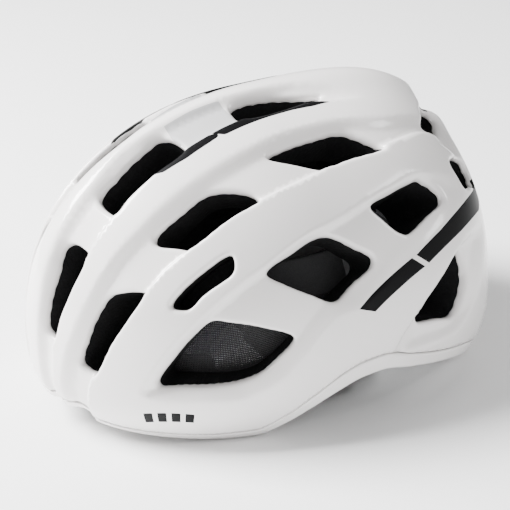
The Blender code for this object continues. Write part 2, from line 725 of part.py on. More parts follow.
BUCKLE_HALF = 0.0045
BUCKLE_LOW, BUCKLE_HIGH = FLOOR_CLEAR, 0.0230
BUCKLE_MID = 0.5 * (BUCKLE_LOW + BUCKLE_HIGH)
female = block("buckle_socket", (FEMALE_LOW, BUCKLE_Y - BUCKLE_HALF, BUCKLE_LOW),
               (FEMALE_HIGH, BUCKLE_Y + BUCKLE_HALF, BUCKLE_HIGH), nylon)
cut(female, hole("socket_mouth", (FEMALE_LOW - 0.005, BUCKLE_Y - 0.0029, BUCKLE_LOW + 0.0022),
                 (FEMALE_HIGH - 0.0050, BUCKLE_Y + 0.0029, BUCKLE_HIGH - 0.0022)))
cut(female, hole("socket_windows", (0.0030, BUCKLE_Y - 0.0029, BUCKLE_LOW - 0.005),
                 (0.0170, BUCKLE_Y + 0.0029, BUCKLE_HIGH + 0.005)))

# male half: a sleeve round the webbing, a guide tongue and two prongs on living hinges
male = block("buckle_plug", (MALE_TAIL, BUCKLE_Y - BUCKLE_HALF, BUCKLE_LOW),
             (FEMALE_LOW - GAP, BUCKLE_Y + BUCKLE_HALF, BUCKLE_HIGH), nylon)
cut(male, hole("plug_slot", (MALE_TAIL - 0.005, BUCKLE_Y - 0.0013, BUCKLE_LOW - 0.005),
               (-0.0080, BUCKLE_Y + 0.0013, WEB_HIGH + 0.0008)))
tongue = add("plug_tongue", box_mesh((-0.0060, BUCKLE_Y - 0.0022, BUCKLE_MID - 0.0018),
                                     (0.0150, BUCKLE_Y + 0.0022, BUCKLE_MID + 0.0018)),
             None, cutters)
tongue.hide_render = True
tongue.display_type = "WIRE"
join = male.modifiers.new("tongue", "BOOLEAN")
join.operation = "UNION"
join.solver = "EXACT"
join.object = tongue

for side, word in ((1, "upper"), (-1, "lower")):
    root_z = BUCKLE_MID + side * 0.0052
    low_z, high_z = sorted((root_z - side * 0.0011, root_z + side * 0.0015))
    prong = block("buckle_prong_" + word, (FEMALE_LOW + 0.0003, BUCKLE_Y - 0.0021, low_z),
                  (0.0150, BUCKLE_Y + 0.0021, high_z), nylon)
    barb_low, barb_high = sorted((root_z, root_z + side * 0.0031))
    barb = add("barb_" + word, box_mesh((0.0060, BUCKLE_Y - 0.0021, barb_low),
                                        (0.0130, BUCKLE_Y + 0.0021, barb_high)), None, cutters)
    barb.hide_render = True
    barb.display_type = "WIRE"
    join = prong.modifiers.new("barb", "BOOLEAN")
    join.operation = "UNION"
    join.solver = "EXACT"
    join.object = barb

# soft sleeve for the chin and the band that holds the loose end of the webbing
sleeve = block("chin_pad", (0.0290, BUCKLE_Y - 0.0042, WEB_LOW), (0.0480, BUCKLE_Y + 0.0080,
               WEB_HIGH + 0.0020), padding)
cut(sleeve, hole("chin_pad_slot", (0.0200, BUCKLE_Y - 0.0012, WEB_LOW - 0.005),
                 (0.0600, BUCKLE_Y + 0.0056, WEB_HIGH + 0.0006)))
keeper = block("strap_keeper", (-0.0490, BUCKLE_Y - 0.0030, WEB_LOW), (-0.0430, BUCKLE_Y + 0.0030,
               WEB_HIGH + 0.0018), rubber)
cut(keeper, hole("keeper_slot", (-0.0600, BUCKLE_Y - 0.0012, WEB_LOW - 0.005),
                 (-0.0300, BUCKLE_Y + 0.0012, WEB_HIGH + 0.0006)))
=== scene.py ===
import json
import math

import bmesh
import bpy
import numpy as np
from mathutils import Matrix, Vector
from mathutils.geometry import delaunay_2d_cdt
from mathutils.kdtree import KDTree


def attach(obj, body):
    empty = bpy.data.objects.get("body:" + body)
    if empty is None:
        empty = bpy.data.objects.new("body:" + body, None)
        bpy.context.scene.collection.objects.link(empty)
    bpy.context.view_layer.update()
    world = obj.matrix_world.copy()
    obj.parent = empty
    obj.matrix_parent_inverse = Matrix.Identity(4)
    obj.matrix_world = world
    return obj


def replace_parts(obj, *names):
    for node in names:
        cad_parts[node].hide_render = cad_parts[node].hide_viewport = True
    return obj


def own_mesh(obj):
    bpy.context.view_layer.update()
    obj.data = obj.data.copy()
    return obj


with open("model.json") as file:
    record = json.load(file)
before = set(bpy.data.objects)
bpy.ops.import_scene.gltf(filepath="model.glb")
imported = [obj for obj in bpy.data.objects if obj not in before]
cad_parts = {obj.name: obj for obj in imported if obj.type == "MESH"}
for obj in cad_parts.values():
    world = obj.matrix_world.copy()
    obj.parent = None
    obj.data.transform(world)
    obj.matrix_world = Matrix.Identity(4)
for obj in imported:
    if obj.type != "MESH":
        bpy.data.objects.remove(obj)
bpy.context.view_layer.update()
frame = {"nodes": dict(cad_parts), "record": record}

# ---- camera, studio light and floor -----------------------
# A long lens looks at the helmet's left front from a little above. The light is a big soft
# panel overhead with a weaker one in front and one behind, over a pale floor.
LOOK_AT = Vector((0.0, 0.0, 0.0734))
CAMERA_DISTANCE = 0.970
TURN, RISE, ROLL = math.radians(61.84), math.radians(26.14), math.radians(-1.73)
back = Vector((math.sin(TURN) * math.cos(RISE), -math.cos(TURN) * math.cos(RISE), math.sin(RISE)))
level = Vector((math.cos(TURN), math.sin(TURN), 0.0))
upright = back.cross(level)
right = level * math.cos(ROLL) + upright * math.sin(ROLL)
upright = upright * math.cos(ROLL) - level * math.sin(ROLL)


def placed(name, data):
    """A new object with this data, in the scene."""
    made = bpy.data.objects.new(name, data)
    bpy.context.scene.collection.objects.link(made)
    return made


lens = bpy.data.cameras.new("camera")
lens.lens = 115.8
lens.sensor_width = 36.0
lens.shift_y = -0.0128
camera = placed("camera", lens)
camera.matrix_world = Matrix.Translation(LOOK_AT + back * CAMERA_DISTANCE) @ Matrix(
    (right, upright, back)).transposed().to_4x4()
bpy.context.scene.camera = camera


def panel_light(name, place, size, power):
    """A rectangular soft light, in watts, turned to the helmet."""
    lamp = bpy.data.lights.new(name, "AREA")
    lamp.shape = "RECTANGLE"
    lamp.size, lamp.size_y = size
    lamp.energy = power
    made = placed(name, lamp)
    made.location = place
    made.rotation_euler = (Vector(place) - LOOK_AT).to_track_quat("Z", "Y").to_euler()


panel_light("overhead_panel", (-0.55, -0.85, 1.05), (0.7, 0.7), 112.0)
panel_light("front_panel", (0.55, -1.60, 0.30), (0.4, 0.9), 5.0)
panel_light("rear_panel", (0.90, 1.10, 0.90), (0.5, 0.5), 8.0)

sky = bpy.data.worlds.new("studio")
bpy.context.scene.world = sky
sky.use_nodes = True
sky.node_tree.nodes["Background"].inputs["Color"].default_value = (1.0, 1.0, 1.0, 1.0)
sky.node_tree.nodes["Background"].inputs["Strength"].default_value = 0.50


def plain(name, colour, rough, metal=0.0):
    """A Principled material and its shader node."""
    made = bpy.data.materials.new(name)
    made.use_nodes = True
    shader = made.node_tree.nodes["Principled BSDF"]
    shader.inputs["Base Color"].default_value = (*colour, 1.0)
    shader.inputs["Roughness"].default_value = rough
    shader.inputs["Metallic"].default_value = metal
    return made, shader


floor_mesh = bpy.data.meshes.new("floor")
FLOOR = 6.0                   # half its width, metres
floor_mesh.from_pydata([(x * FLOOR, y * FLOOR, 0) for x, y in ((-1, -1), (1, -1), (1, 1), (-1, 1))],
                       [], [(0, 1, 2, 3)])
floor = placed("floor", floor_mesh)
floor_mesh.materials.append(plain("floor_paper", (0.95, 0.95, 0.95), 0.80)[0])

# ---- outer shell ------------------------------------------
# A 1 mm polycarbonate skin, vacuum formed and fused to the foam: three ribs a side with deep
# channels between them. Its vents have rolled lips. The black strips are printed on it.
CENTRE = np.array((0.0, 0.0, 0.0445))
HALF_WIDTH, HALF_LENGTH, HEIGHT_UP, HEIGHT_DOWN = 0.1017, 0.1428, 0.1273, 0.0770
EGG = 0.03                    # wider behind than in front
CREST_SOFTNESS = 0.12         # rounds the crease that the plan's curve has on the centre line
CREST_POWER, FRONT_POWER, REAR_POWER, HEIGHT_POWER = 0.925, 2.04, 3.52, 2.22
RIB_RAISE, RIB_WIDTH, RIB_FADE = 0.0048, 0.016, 0.060
HEAD_WIDTH, HEAD_LENGTH, HEAD_UP, HEAD_DOWN, HEAD_POWER = 0.080, 0.103, 0.105, 0.160, 2.1
SKIN = 0.0009

# heights of the rim by angle from the front, and of the band above it
RIM = [(0, 0.018), (11, 0.017), (16, 0.009), (24, 0.005), (33, 0.003), (45, 0.0005),
       (52.5, 0.0), (60, 0.0), (70, 0.009), (79, 0.019), (88, 0.027), (97, 0.032),
       (104, 0.033), (113, 0.029), (123, 0.024), (135, 0.017), (147, 0.006),
       (157.5, 0.0), (165, 0.0), (180, 0.014)]
BAND = [(0, 0.005), (16, 0.005), (31, 0.006), (46, 0.007), (57, 0.008), (70, 0.0085),
        (80, 0.010), (90, 0.0115), (104, 0.011), (113, 0.010), (125, 0.009), (160, 0.010),
        (180, 0.008)]


def curve(knots, at):
    """Monotone cubic through the knots, for an array of places."""
    xs, ys = (np.array(v, float) for v in zip(*knots))
    at = np.clip(np.asarray(at, float), xs[0], xs[-1])
    width = np.diff(xs)
    slope = np.diff(ys) / width
    p, q = slope[:-1], slope[1:]
    inside = np.where(p * q > 0, 2 * p * q / np.where(p + q == 0, 1, p + q), 0.0)
    tangent = np.concatenate(([0.0], inside, [0.0]))
    i = np.clip(np.searchsorted(xs, at, side="right") - 1, 0, len(xs) - 2)
    u, w = (at - xs[i]) / width[i], width[i]
    return ((2 * u ** 3 - 3 * u ** 2 + 1) * ys[i] + (u ** 3 - 2 * u ** 2 + u) * w * tangent[i]
            + (3 * u ** 2 - 2 * u ** 3) * ys[i + 1] + (u ** 3 - u ** 2) * w * tangent[i + 1])


def step(u):
    """A smooth rise from 0 to 1."""
    u = np.clip(u, 0.0, 1.0)
    return u * u * (3 - 2 * u)


def ways(chart):
    """Unit directions from the centre, for points of the crown map in degrees."""
    s, t = chart[:, 0], chart[:, 1]
    down = np.hypot(s, t)
    k = np.where(down > 1e-6, np.sin(np.radians(down)) / np.maximum(down, 1e-6), math.pi / 180)
    return np.stack((s * k, t * k, np.cos(np.radians(down))), 1)


def shell_level(p):
    """The plain form of the helmet: 1 on its surface, less inside."""
    x, y, z = p[:, 0], p[:, 1], p[:, 2] - CENTRE[2]
    tail = np.clip(y / HALF_LENGTH, -1, 1)
    across = x / (HALF_WIDTH * (1 + EGG * tail))
    height = np.where(z > 0, HEIGHT_UP, HEIGHT_DOWN)
    rounded = ((across ** 2 + CREST_SOFTNESS ** 2) ** CREST_POWER
               - CREST_SOFTNESS ** (2 * CREST_POWER))
    return (rounded + np.abs(y / HALF_LENGTH) ** np.where(y > 0, REAR_POWER, FRONT_POWER)
            + np.abs(z / height) ** HEIGHT_POWER)


def head_level(p):
    """The space for the head, inside the liner."""
    z = p[:, 2] - CENTRE[2]
    height = np.where(z > 0, HEAD_UP, HEAD_DOWN)
    return ((p[:, 0] / HEAD_WIDTH) ** 2 + np.abs(p[:, 1] / HEAD_LENGTH) ** HEAD_POWER
            + (z / height) ** 2)


def reach(level_of, way):
    """Distance from the centre to where the level is 1."""
    low, high = np.zeros(len(way)), np.full(len(way), 0.4)
    for _ in range(34):
        mid = 0.5 * (low + high)
        inside = level_of(CENTRE + way * mid[:, None]) < 1
        low, high = np.where(inside, mid, low), np.where(inside, high, mid)
    return low


# Channels between the ribs, on the crown map: back runs from brow (-) to nape (+), and each
# edge says how far sideways it is there. Depths are in millimetres.
CHANNELS = {
    "inner": dict(
        crest=[(-97, 4.4), (-82, 4.6), (-67, 3.6), (-60, 3.0), (-48, 2.4), (-35, 1.0),
               (-28, 1.4), (-8, 1.9), (7, 2.4), (17, 4.6), (26, 7.4)],
        floor=[(-96, 7.3), (-82, 7.5), (-68, 6.4), (-60, 5.7), (-48, 5.0), (-35, 3.2),
               (-28, 3.7), (-8, 4.2), (7, 4.8), (17, 7.9), (26, 10.5)],
        far=[(-95, 11.6), (-81, 12.4), (-67, 14.4), (-60, 14.2), (-50, 13.5), (-39, 12.9),
             (-25, 12.2), (-8, 11.0), (6, 10.3), (16, 11.4), (26, 12.0)],
        far_width=1.0,
        depth=[(-101, 2.6), (-81, 3.6), (-60, 4.0), (-35, 4.0), (-10, 3.6), (6, 3.2),
               (16, 2.2), (27, 0.0)]),
    "outer": dict(
        crest=[(-95, 15.5), (-89, 16.1), (-76, 18.9), (-65, 20.2), (-55, 20.6), (-47, 20.9),
               (-39, 20.6), (-22, 20.2), (-13, 19.8), (0, 18.6), (15, 18.0), (27, 18.6),
               (40, 15.8)],
        floor=[(-97, 20.6), (-85, 21.5), (-71, 23.0), (-55, 23.2), (-45, 24.5), (-27, 24.4),
               (-16, 23.7), (-8, 22.6), (-2, 21.4), (8, 20.7), (16, 20.5), (25, 21.8),
               (34, 20.8), (44, 17.5)],
        far=[(-95, 27.5), (-82, 29.5), (-69, 33.0), (-62, 33.9), (-49, 34.1), (-39, 34.8),
             (-25, 34.8), (-17, 34.6), (-10, 34.2), (-3, 33.6), (7, 31.7), (12, 30.7),
             (24, 27.7), (30, 25.6), (41, 21.4)],
        far_width=1.2,
        depth=[(-101, 3.2), (-83, 4.2), (-60, 4.6), (-40, 4.6), (-27, 4.4), (0, 4.2),
               (15, 3.8), (30, 3.0), (42, 2.2), (48, 0.0)]),
    "side": dict(
        crest=[(-95, 40.0), (-86, 43.0), (-79, 46.0), (-73, 47.2), (-60, 48.8), (-50, 49.9),
               (-37, 50.4), (-28, 50.4), (-24, 50.2), (-14, 48.6), (-6, 47.2), (-1, 46.6),
               (7, 44.8), (16, 41.6), (24, 38.3), (33, 34.2), (42, 33.0)],
        floor=[(-95, 43.0), (-86, 46.0), (-80, 49.4), (-74, 50.6), (-63, 51.2), (-53, 52.0),
               (-37, 52.5), (-28, 52.5), (-24, 52.3), (-13, 50.5), (-4, 49.0), (0, 48.8),
               (8, 46.9), (17, 43.6), (25, 40.0), (34, 36.0), (43, 35.5)],
        far=[(-86, 40.0), (-81.5, 43.8), (-77, 54.6), (-67, 67.2), (-47.5, 82.2), (-32, 84.5),
             (-19, 80.8), (-9, 75.9), (-3, 73.4), (7, 72.3), (29, 57.6), (47, 40.3), (52, 35)],
        far_width=6.5,
        depth=[(-86, 0.0), (-80, 2.8), (-73, 4.2), (-60, 4.8), (-46, 4.8), (-30, 4.4),
               (-10, 4.2), (5, 4.2), (20, 3.8), (33, 3.2), (42, 2.0), (50, 0.0)]),
    "rear": dict(
        crest=[(22, 88.7), (31.4, 77.2), (40, 63.8), (49.2, 49.2), (56, 41.0), (62, 36.0)],
        floor=[(22, 91.5), (31.4, 80.0), (36.2, 72.3), (42.2, 62.0), (50, 50.0), (56, 45.5),
               (62, 42.0)],
        far=[(22, 95.0), (37.5, 85.0), (48.7, 79.0), (56.4, 73.5), (60, 68.0), (64, 60.0)],
        far_width=5.0,
        depth=[(24, 0.0), (31, 2.0), (38, 3.4), (56, 3.4), (60, 2.0), (65, 0.0)]),
}


def relief(chart):
    """How far the skin lies below the plain form, in metres."""
    s, t = np.abs(chart[:, 0]), chart[:, 1]
    total = np.zeros(len(chart))
    for c in CHANNELS.values():
        crest, floor = curve(c["crest"], t), curve(c["floor"], t)
        rise = step((s - crest) / np.maximum(floor - crest, 0.3))
        fall = step((curve(c["far"], t) - s) / c["far_width"])
        inside = (t > c["depth"][0][0]) & (t < c["depth"][-1][0])
        total = np.maximum(total, np.where(inside, curve(c["depth"], t), 0.0) * rise * fall)
    return total * 1e-3


def tail_rise(chart):
    """The centre tier runs on level behind the crown and then drops."""
    s, t = np.abs(chart[:, 0]), chart[:, 1]
    return (0.0008 * step((t - 16) / 24) * (1 - step((t - 42) / 2.5)) * (1 - step((s - 9) / 10))
            - 0.0058 * step((t - 42.5) / 2.5) * (1 - step((t - 51) / 5)) * (1 - step((s - 17) / 8)))


def skin_radius(chart):
    """Distance of the skin's face from the centre, before its lips are rolled."""
    way = ways(chart)
    r = reach(shell_level, way)
    climb = np.clip(way[:, 2] * r / RIB_FADE, 0, 1)
    rib = RIB_RAISE * (0.15 + 0.85 * climb) * np.exp(-((way[:, 0] * r) / RIB_WIDTH) ** 2)
    return r + rib + tail_rise(chart) - relief(chart)


# vents on the same map, left half
VENTS = {
    "front_inner": [(5.5, -60.6), (13.6, -60.2), (14.2, -68.1), (13.4, -74.8), (12.0, -82.1),
                    (7.0, -82.0), (6.0, -75.4), (5.8, -68.2)],
    "crown_inner": [(3.9, -27.2), (11.6, -25.5), (12.6, -34.8), (12.9, -43.2), (13.1, -48.1),
                    (5.4, -48.7), (4.2, -42.0), (3.5, -35.0)],
    "top_inner": [(4.8, -8.7), (4.3, 2.0), (6.4, 10.3), (8.2, 15.9), (9.9, 12.0), (10.5, -7.6)],
    "front_outer": [(23.9, -64.6), (26.1, -62.0), (33.3, -57.0), (33.5, -63.1), (32.5, -70.9),
                    (29.2, -84.2), (21.7, -84.8), (22.1, -77.7), (22.7, -70.9)],
    "crown_outer": [(24.9, -45.9), (26.6, -46.3), (31.0, -42.9), (34.3, -39.4), (34.4, -25.0),
                    (34.0, -16.4), (31.5, -16.8), (24.8, -26.9), (24.5, -36.1)],
    "top_outer": [(23.1, -7.7), (21.6, -1.5), (20.7, 8.1), (20.6, 16.4), (23.2, 20.9),
                  (27.5, 25.6), (30.4, 13.2), (31.1, 7.4), (27.8, -0.5)],
    "temple_slot": [(41.6, -53.5), (44.6, -51.7), (46.1, -49.6), (46.2, -44.1), (47.0, -33.6),
                    (45.9, -31.9), (42.8, -31.0), (41.5, -39.2)],
    "side": [(52.3, -23.8), (50.5, -13.0), (49.0, -4.3), (49.1, 0.4), (50.4, 4.0), (53.9, 10.0),
             (57.6, 16.7), (59.8, 16.6), (64.8, 8.2), (69.0, -1.3), (64.0, -11.1), (57.4, -19.6)],
    "rear_upper": [(43.3, 17.9), (39.6, 25.4), (36.4, 32.1), (35.3, 34.9), (37.8, 41.4),
                   (39.8, 42.1), (44.4, 37.6), (50.7, 30.0), (50.3, 26.2), (46.7, 21.0)],
    "temple": [(50.6, -75.1), (59.0, -69.3), (68.9, -59.7), (75.2, -50.7), (78.5, -40.9),
               (78.4, -33.2), (75.1, -22.0), (66.4, -31.7), (57.7, -41.9), (53.1, -47.0),
               (51.9, -53.8), (51.0, -64.2)],
    "rear_lower": [(50.3, 50), (52.4, 54.4), (55.4, 56.8), (60.8, 57.7), (67.4, 56.4),
                   (71.5, 48.7), (75.3, 37.5), (72.5, 36.2), (62.2, 42.2)],
    "exhaust_inner": [(1.8, 46.4), (8, 43.8), (13.8, 41.2), (19.2, 40.6), (18.6, 44),
                      (15.6, 48.8), (11, 52.0), (2.4, 53.0)],
    "exhaust_outer": [(24.5, 49), (28.2, 45.8), (31, 48), (32.8, 50.8), (30, 55), (25.5, 60),
                      (21.5, 59), (20.6, 55)],
}


def between(a, b, u, v, x):
    return (v - x) / (v - u) * a + (x - u) / (v - u) * b


def closed_curve(points, spacing):
    """Centripetal Catmull-Rom through the points of a closed outline, evenly spaced."""
    p = np.array(points, float)
    n = len(p)
    fine = []
    for i in range(n):
        a, b, c, d = p[i - 1], p[i], p[(i + 1) % n], p[(i + 2) % n]
        k = [0.0]
        for u, v in ((a, b), (b, c), (c, d)):
            k.append(k[-1] + math.sqrt(np.linalg.norm(v - u)) + 1e-9)
        for x in np.linspace(k[1], k[2], 14, endpoint=False):
            a1 = between(a, b, k[0], k[1], x)
            a2 = between(b, c, k[1], k[2], x)
            a3 = between(c, d, k[2], k[3], x)
            b1 = between(a1, a2, k[0], k[2], x)
            b2 = between(a2, a3, k[1], k[3], x)
            fine.append(between(b1, b2, k[1], k[2], x))
    return resample(np.array(fine), spacing, True)


def resample(line, spacing, closed):
    """The same line with its points an even distance apart."""
    if closed:
        line = np.vstack((line, line[:1]))
    along = np.concatenate(([0.0], np.cumsum(np.linalg.norm(np.diff(line, axis=0), axis=1))))
    count = max(3, round(along[-1] / spacing))
    at = np.linspace(0, along[-1], count + 1)
    even = np.stack([np.interp(at, along, line[:, k]) for k in range(2)], 1)
    return even[:-1] if closed else even


def inset(outline, by):
    """A closed outline moved inwards."""
    ahead = np.roll(outline, -1, 0) - np.roll(outline, 1, 0)
    ahead /= np.linalg.norm(ahead, axis=1)[:, None]
    area = 0.5 * np.sum(outline[:, 0] * np.roll(outline[:, 1], -1)
                        - np.roll(outline[:, 0], -1) * outline[:, 1])
    return outline + np.stack((-ahead[:, 1], ahead[:, 0]), 1) * by * np.sign(area)


def within(points, polygon):
    """Which points lie inside a polygon."""
    inside = np.zeros(len(points), bool)
    x, y = points[:, 0], points[:, 1]
    for (x1, y1), (x2, y2) in zip(polygon, np.roll(polygon, -1, 0)):
        crosses = (y1 > y) != (y2 > y)
        if crosses.any():
            at = (x2 - x1) * (y - y1) / (y2 - y1 + 1e-30) + x1
            inside ^= crosses & (x < at)
    return inside


def down_to_height(around, height_of):
    """Angle from the crown at which the skin comes down to a height, for each bearing."""
    a = np.radians(around)
    low, high = np.full(len(a), 60.0), np.full(len(a), 140.0)
    for _ in range(26):
        mid = 0.5 * (low + high)
        chart = np.stack((mid * np.sin(a), -mid * np.cos(a)), 1)
        z = CENTRE[2] + ways(chart)[:, 2] * reach(shell_level, ways(chart))
        above = z > height_of(around)
        low, high = np.where(above, mid, low), np.where(above, high, mid)
    return low


def seam_height(around):
    """Height of the joint line between the shell and the lower band."""
    return curve(RIM, around) + curve(BAND, around)


def edge_line(height_of, spacing):
    """Half of a level edge on the map, from the front's centre round the left to the back's."""
    around = np.linspace(0, 180, 361)
    down = down_to_height(around, height_of)
    a = np.radians(around)
    line = resample(np.stack((down * np.sin(a), -down * np.cos(a)), 1), spacing, False)
    line[0, 0] = line[-1, 0] = 0.0
    return line


def finder(points):
    """Finds the nearest of some points on the map."""
    tree = KDTree(len(points))
    for i, p in enumerate(points):
        tree.insert((p[0], p[1], 0), i)
    tree.balance()
    return tree


HOLE_RINGS = (0.35, 0.85, 1.5)          # rows of points round a hole, degrees outside it
CLEAR_OF_LINES, CLEAR_OF_POINTS, CELL = 0.30, 0.42, 0.5
MAP_END = 110


def half_map(edge, holes, marks, spacing, extra=()):
    """Triangulate the left half of the map inside an edge, with holes left out.

    marks are outlines whose edges the triangles keep. Returns points and triangles.
    """
    centre_line = np.stack((np.zeros(199), np.linspace(edge[0, 1], edge[-1, 1], 201)[1:-1]), 1)
    outer = np.vstack((edge, centre_line[::-1]))
    points, edges = [], []
    for line in [outer, *holes, *marks]:
        first = len(points)
        points.extend(map(tuple, line))
        edges += [(first + i, first + (i + 1) % len(line)) for i in range(len(line))]
    tree = finder(points)
    rings = [inset(h, -d) for h in holes for d in HOLE_RINGS]
    free = [p for ring in rings for p in ring] + list(extra)
    row = spacing * math.sqrt(3) / 2
    for j, t in enumerate(np.arange(-MAP_END, MAP_END, row)):
        for s in np.arange(0.5 * spacing * (j % 2), MAP_END, spacing):
            free.append((s, t))
    free = np.array([p for p in free if p[0] > 0.3])
    keep = within(free, outer)
    for h in holes:
        keep &= ~within(free, h)
    free = free[keep]
    kept, cells = [], {}
    for p in free:
        if tree.find((p[0], p[1], 0))[2] < CLEAR_OF_LINES:
            continue
        cell = (int(p[0] / CELL), int(p[1] / CELL))
        near = any(math.hypot(p[0] - q[0], p[1] - q[1]) < CLEAR_OF_POINTS
                   for i in (-1, 0, 1) for j in (-1, 0, 1)
                   for q in cells.get((cell[0] + i, cell[1] + j), ()))
        if not near:
            cells.setdefault(cell, []).append(p)
            kept.append(p)
    every = [Vector(p) for p in points] + [Vector(p) for p in kept]
    verts, _, faces, _, _, _ = delaunay_2d_cdt(every, edges, [], 0, 1e-7)
    verts = np.array([tuple(v) for v in verts])
    tris = np.array([f for f in faces if len(f) == 3])
    middle = verts[tris].mean(1)
    keep = within(middle, outer)
    for h in holes:
        keep &= ~within(middle, h)
    tris = tris[keep]
    used, place = np.unique(tris, return_inverse=True)
    return verts[used], place.reshape(-1, 3)


def whole_map(verts, tris):
    """Mirror the half map over the centre line, sharing its points there."""
    on_line = np.abs(verts[:, 0]) < 1e-6
    verts[on_line, 0] = 0.0
    other = np.where(on_line, np.arange(len(verts)), 0)
    other[~on_line] = len(verts) + np.arange((~on_line).sum())
    mirrored = verts[~on_line] * (-1, 1)
    return np.vstack((verts, mirrored)), np.vstack((tris, other[tris][:, ::-1]))


def border_edges(tris):
    """Directed edges that only one triangle has."""
    directed = np.vstack((tris[:, [0, 1]], tris[:, [1, 2]], tris[:, [2, 0]]))
    seen = {(a, b) for a, b in directed.tolist()}
    return [(a, b) for a, b in seen if (b, a) not in seen]


def outward(points, faces):
    """Turn triangles so that they face away from the centre."""
    p = points[faces]
    normal = np.cross(p[:, 1] - p[:, 0], p[:, 2] - p[:, 0])
    wrong = np.einsum("ij,ij->i", normal, p.mean(1) - CENTRE) < 0
    faces = faces.copy()
    faces[wrong] = faces[wrong][:, ::-1]
    return faces


def distances(chart, lines):
    """Distance on the map from each point to the nearest of some closely spaced lines."""
    tree = finder(np.vstack(lines))
    return np.array([tree.find((abs(p[0]), p[1], 0))[2] for p in chart])


def mesh_object(name, points, faces):
    """A smooth mesh in the scene."""
    mesh = bpy.data.meshes.new(name)
    mesh.from_pydata([tuple(p) for p in points], [], [tuple(f) for f in faces])
    mesh.validate()
    mesh.shade_smooth()
    return placed(name, mesh)


# printed marks on the map, and one patch of painted shade: grey on the sunk floor of the inner
# channel
STRIP_LOW = [(12.6, -36.0), (14.2, -33.0), (14.6, -26.5), (13.9, -19.8), (13.4, -16.6),
             (12.2, -16.2), (11.7, -18.2), (12.2, -26.0), (12.6, -31.0)]
STRIP_TOP = [(11.6, -17.6), (13.7, -14.8), (12.9, -3.7), (12.3, 5.4), (12.4, 11.5),
             (11.9, 16.4), (10.5, 12.2), (10.1, 6.4), (10.5, -3.0), (10.9, -10.0)]
# painted shade: a grey patch on the recessed floor of the inner channel, between the crown and top
# vents
RECESS_SHADE_PATCH = [(2.4, -25.4), (2.3, -17.7), (2.6, -10.3), (5.4, -9.9), (10.9, -9.0), (11.3, -17.4),
         (11.5, -24.4), (6.0, -25.9)]
# the stripe's two lengths: upper edge, then lower edge back
STRIPES = [([(72.5, 7.2), (65.3, 18.0), (57.8, 29.0)], [(59.4, 34.4), (66.8, 24.5), (73.8, 14.6)]),
           ([(56.8, 30.6), (48.8, 39.2), (40.6, 46.9), (30.5, 56.2), (16.0, 64.0), (0.0, 67.0)],
            [(0.0, 71.4), (18.0, 68.4), (34.2, 59.5), (46.5, 47.8), (58.2, 35.8)])]
BRIDGE = [(0.0, 45.6), (1.3, 46.2), (1.0, 50.0), (1.3, 52.6), (0.0, 53.2)]
MARK_START, MARK_STEP, MARK_BARS = (50.0, -84.6), (5.0, 3.6), 4
# the third slot is grey painted shade for the recessed channel floor
WHITE, BLACK, RECESS_SHADE_SLOT = 0, 1, 2  # the skin's material slots


def mark_bar(i):
    """A slanted bar of the plain mark at the brow: four of them in a row."""
    s, t = MARK_START[0] + MARK_STEP[0] * i, MARK_START[1] + MARK_STEP[1] * i
    return [(s, t), (s + 3.2, t + 2.3), (s + 4.6, t - 1.1), (s + 1.4, t - 3.4)]


def mark_outlines():
    """Every printed outline and the patch of painted shade, and the slot that each is coloured
    with.
    """
    out = [(resample(np.array(outline), 0.8, True), slot)
           for outline, slot in ((STRIP_LOW, BLACK), (STRIP_TOP, BLACK), (RECESS_SHADE_PATCH, RECESS_SHADE_SLOT))]
    out += [(np.vstack([resample(np.array(side), 1.0, False) for side in pair]), BLACK)
            for pair in STRIPES]
    out += [(resample(np.array(mark_bar(i)), 0.7, True), BLACK) for i in range(MARK_BARS)]
    # the bridge between the two rear exhausts is bare foam
    return out + [(resample(np.array(BRIDGE), 0.7, False), BLACK)]


SPACING, VENT_STEP, FOLD_STEP = 1.15, 0.62, 0.9           # of the skin's grid, degrees
vent_lines = [closed_curve(p, VENT_STEP) for p in VENTS.values()]
edge = edge_line(seam_height, 1.0)
marks = mark_outlines()
folds = []
for c in CHANNELS.values():
    for t in np.arange(c["depth"][0][0] + 1, c["depth"][-1][0] - 1, FOLD_STEP):
        crest, floor_at, far = (float(curve(c[k], t)) for k in ("crest", "floor", "far"))
        if far - crest < 1.5:
            continue
        folds += [(s, t) for s in (crest, 0.5 * (crest + floor_at), floor_at, far,
                                   far - 0.5 * c["far_width"], far - c["far_width"])]
chart, tris = half_map(edge, vent_lines, [line for line, _ in marks], SPACING, folds)
chart, tris = whole_map(chart, tris)

LIP, EDGE_LIP = 0.90, 0.5     # widths of the rolled lips on the map, degrees
LIP_RADIUS, EDGE_RADIUS = 0.0019, 0.0007
LIP_DEPTHS = (0.0007, 0.0016, 0.0027)
EDGE_SHARE = 0.25             # how much of that the rim's edge turns in
DENSE = 0.12
near_vent = distances(chart, [resample(v, DENSE, True) for v in vent_lines])
near_edge = distances(chart, [resample(edge, DENSE, False)])
radius = skin_radius(chart)
for near, width, rounding in ((near_vent, LIP, LIP_RADIUS), (near_edge, EDGE_LIP, EDGE_RADIUS)):
    roll = np.clip(1 - near / width, 0, 1)
    radius -= rounding * (1 - np.sqrt(np.clip(1 - roll ** 2, 0, 1)))
points = CENTRE + ways(chart) * radius[:, None]
tris = outward(points, tris)

border = border_edges(tris)
rim_ids = sorted({a for a, b in border})
faces = [tuple(t) for t in tris]
points = list(map(tuple, points))
above = {v: v for v in rim_ids}
for depth in LIP_DEPTHS:
    layer = {}
    for v in rim_ids:
        p = np.array(points[v])
        way = (p - CENTRE) / np.linalg.norm(p - CENTRE)
        layer[v] = len(points)
        points.append(tuple(p - way * (depth * (EDGE_SHARE if near_edge[v] < 0.02 else 1.0))))
    faces += [(above[b], above[a], layer[a], layer[b]) for a, b in border]
    above = layer

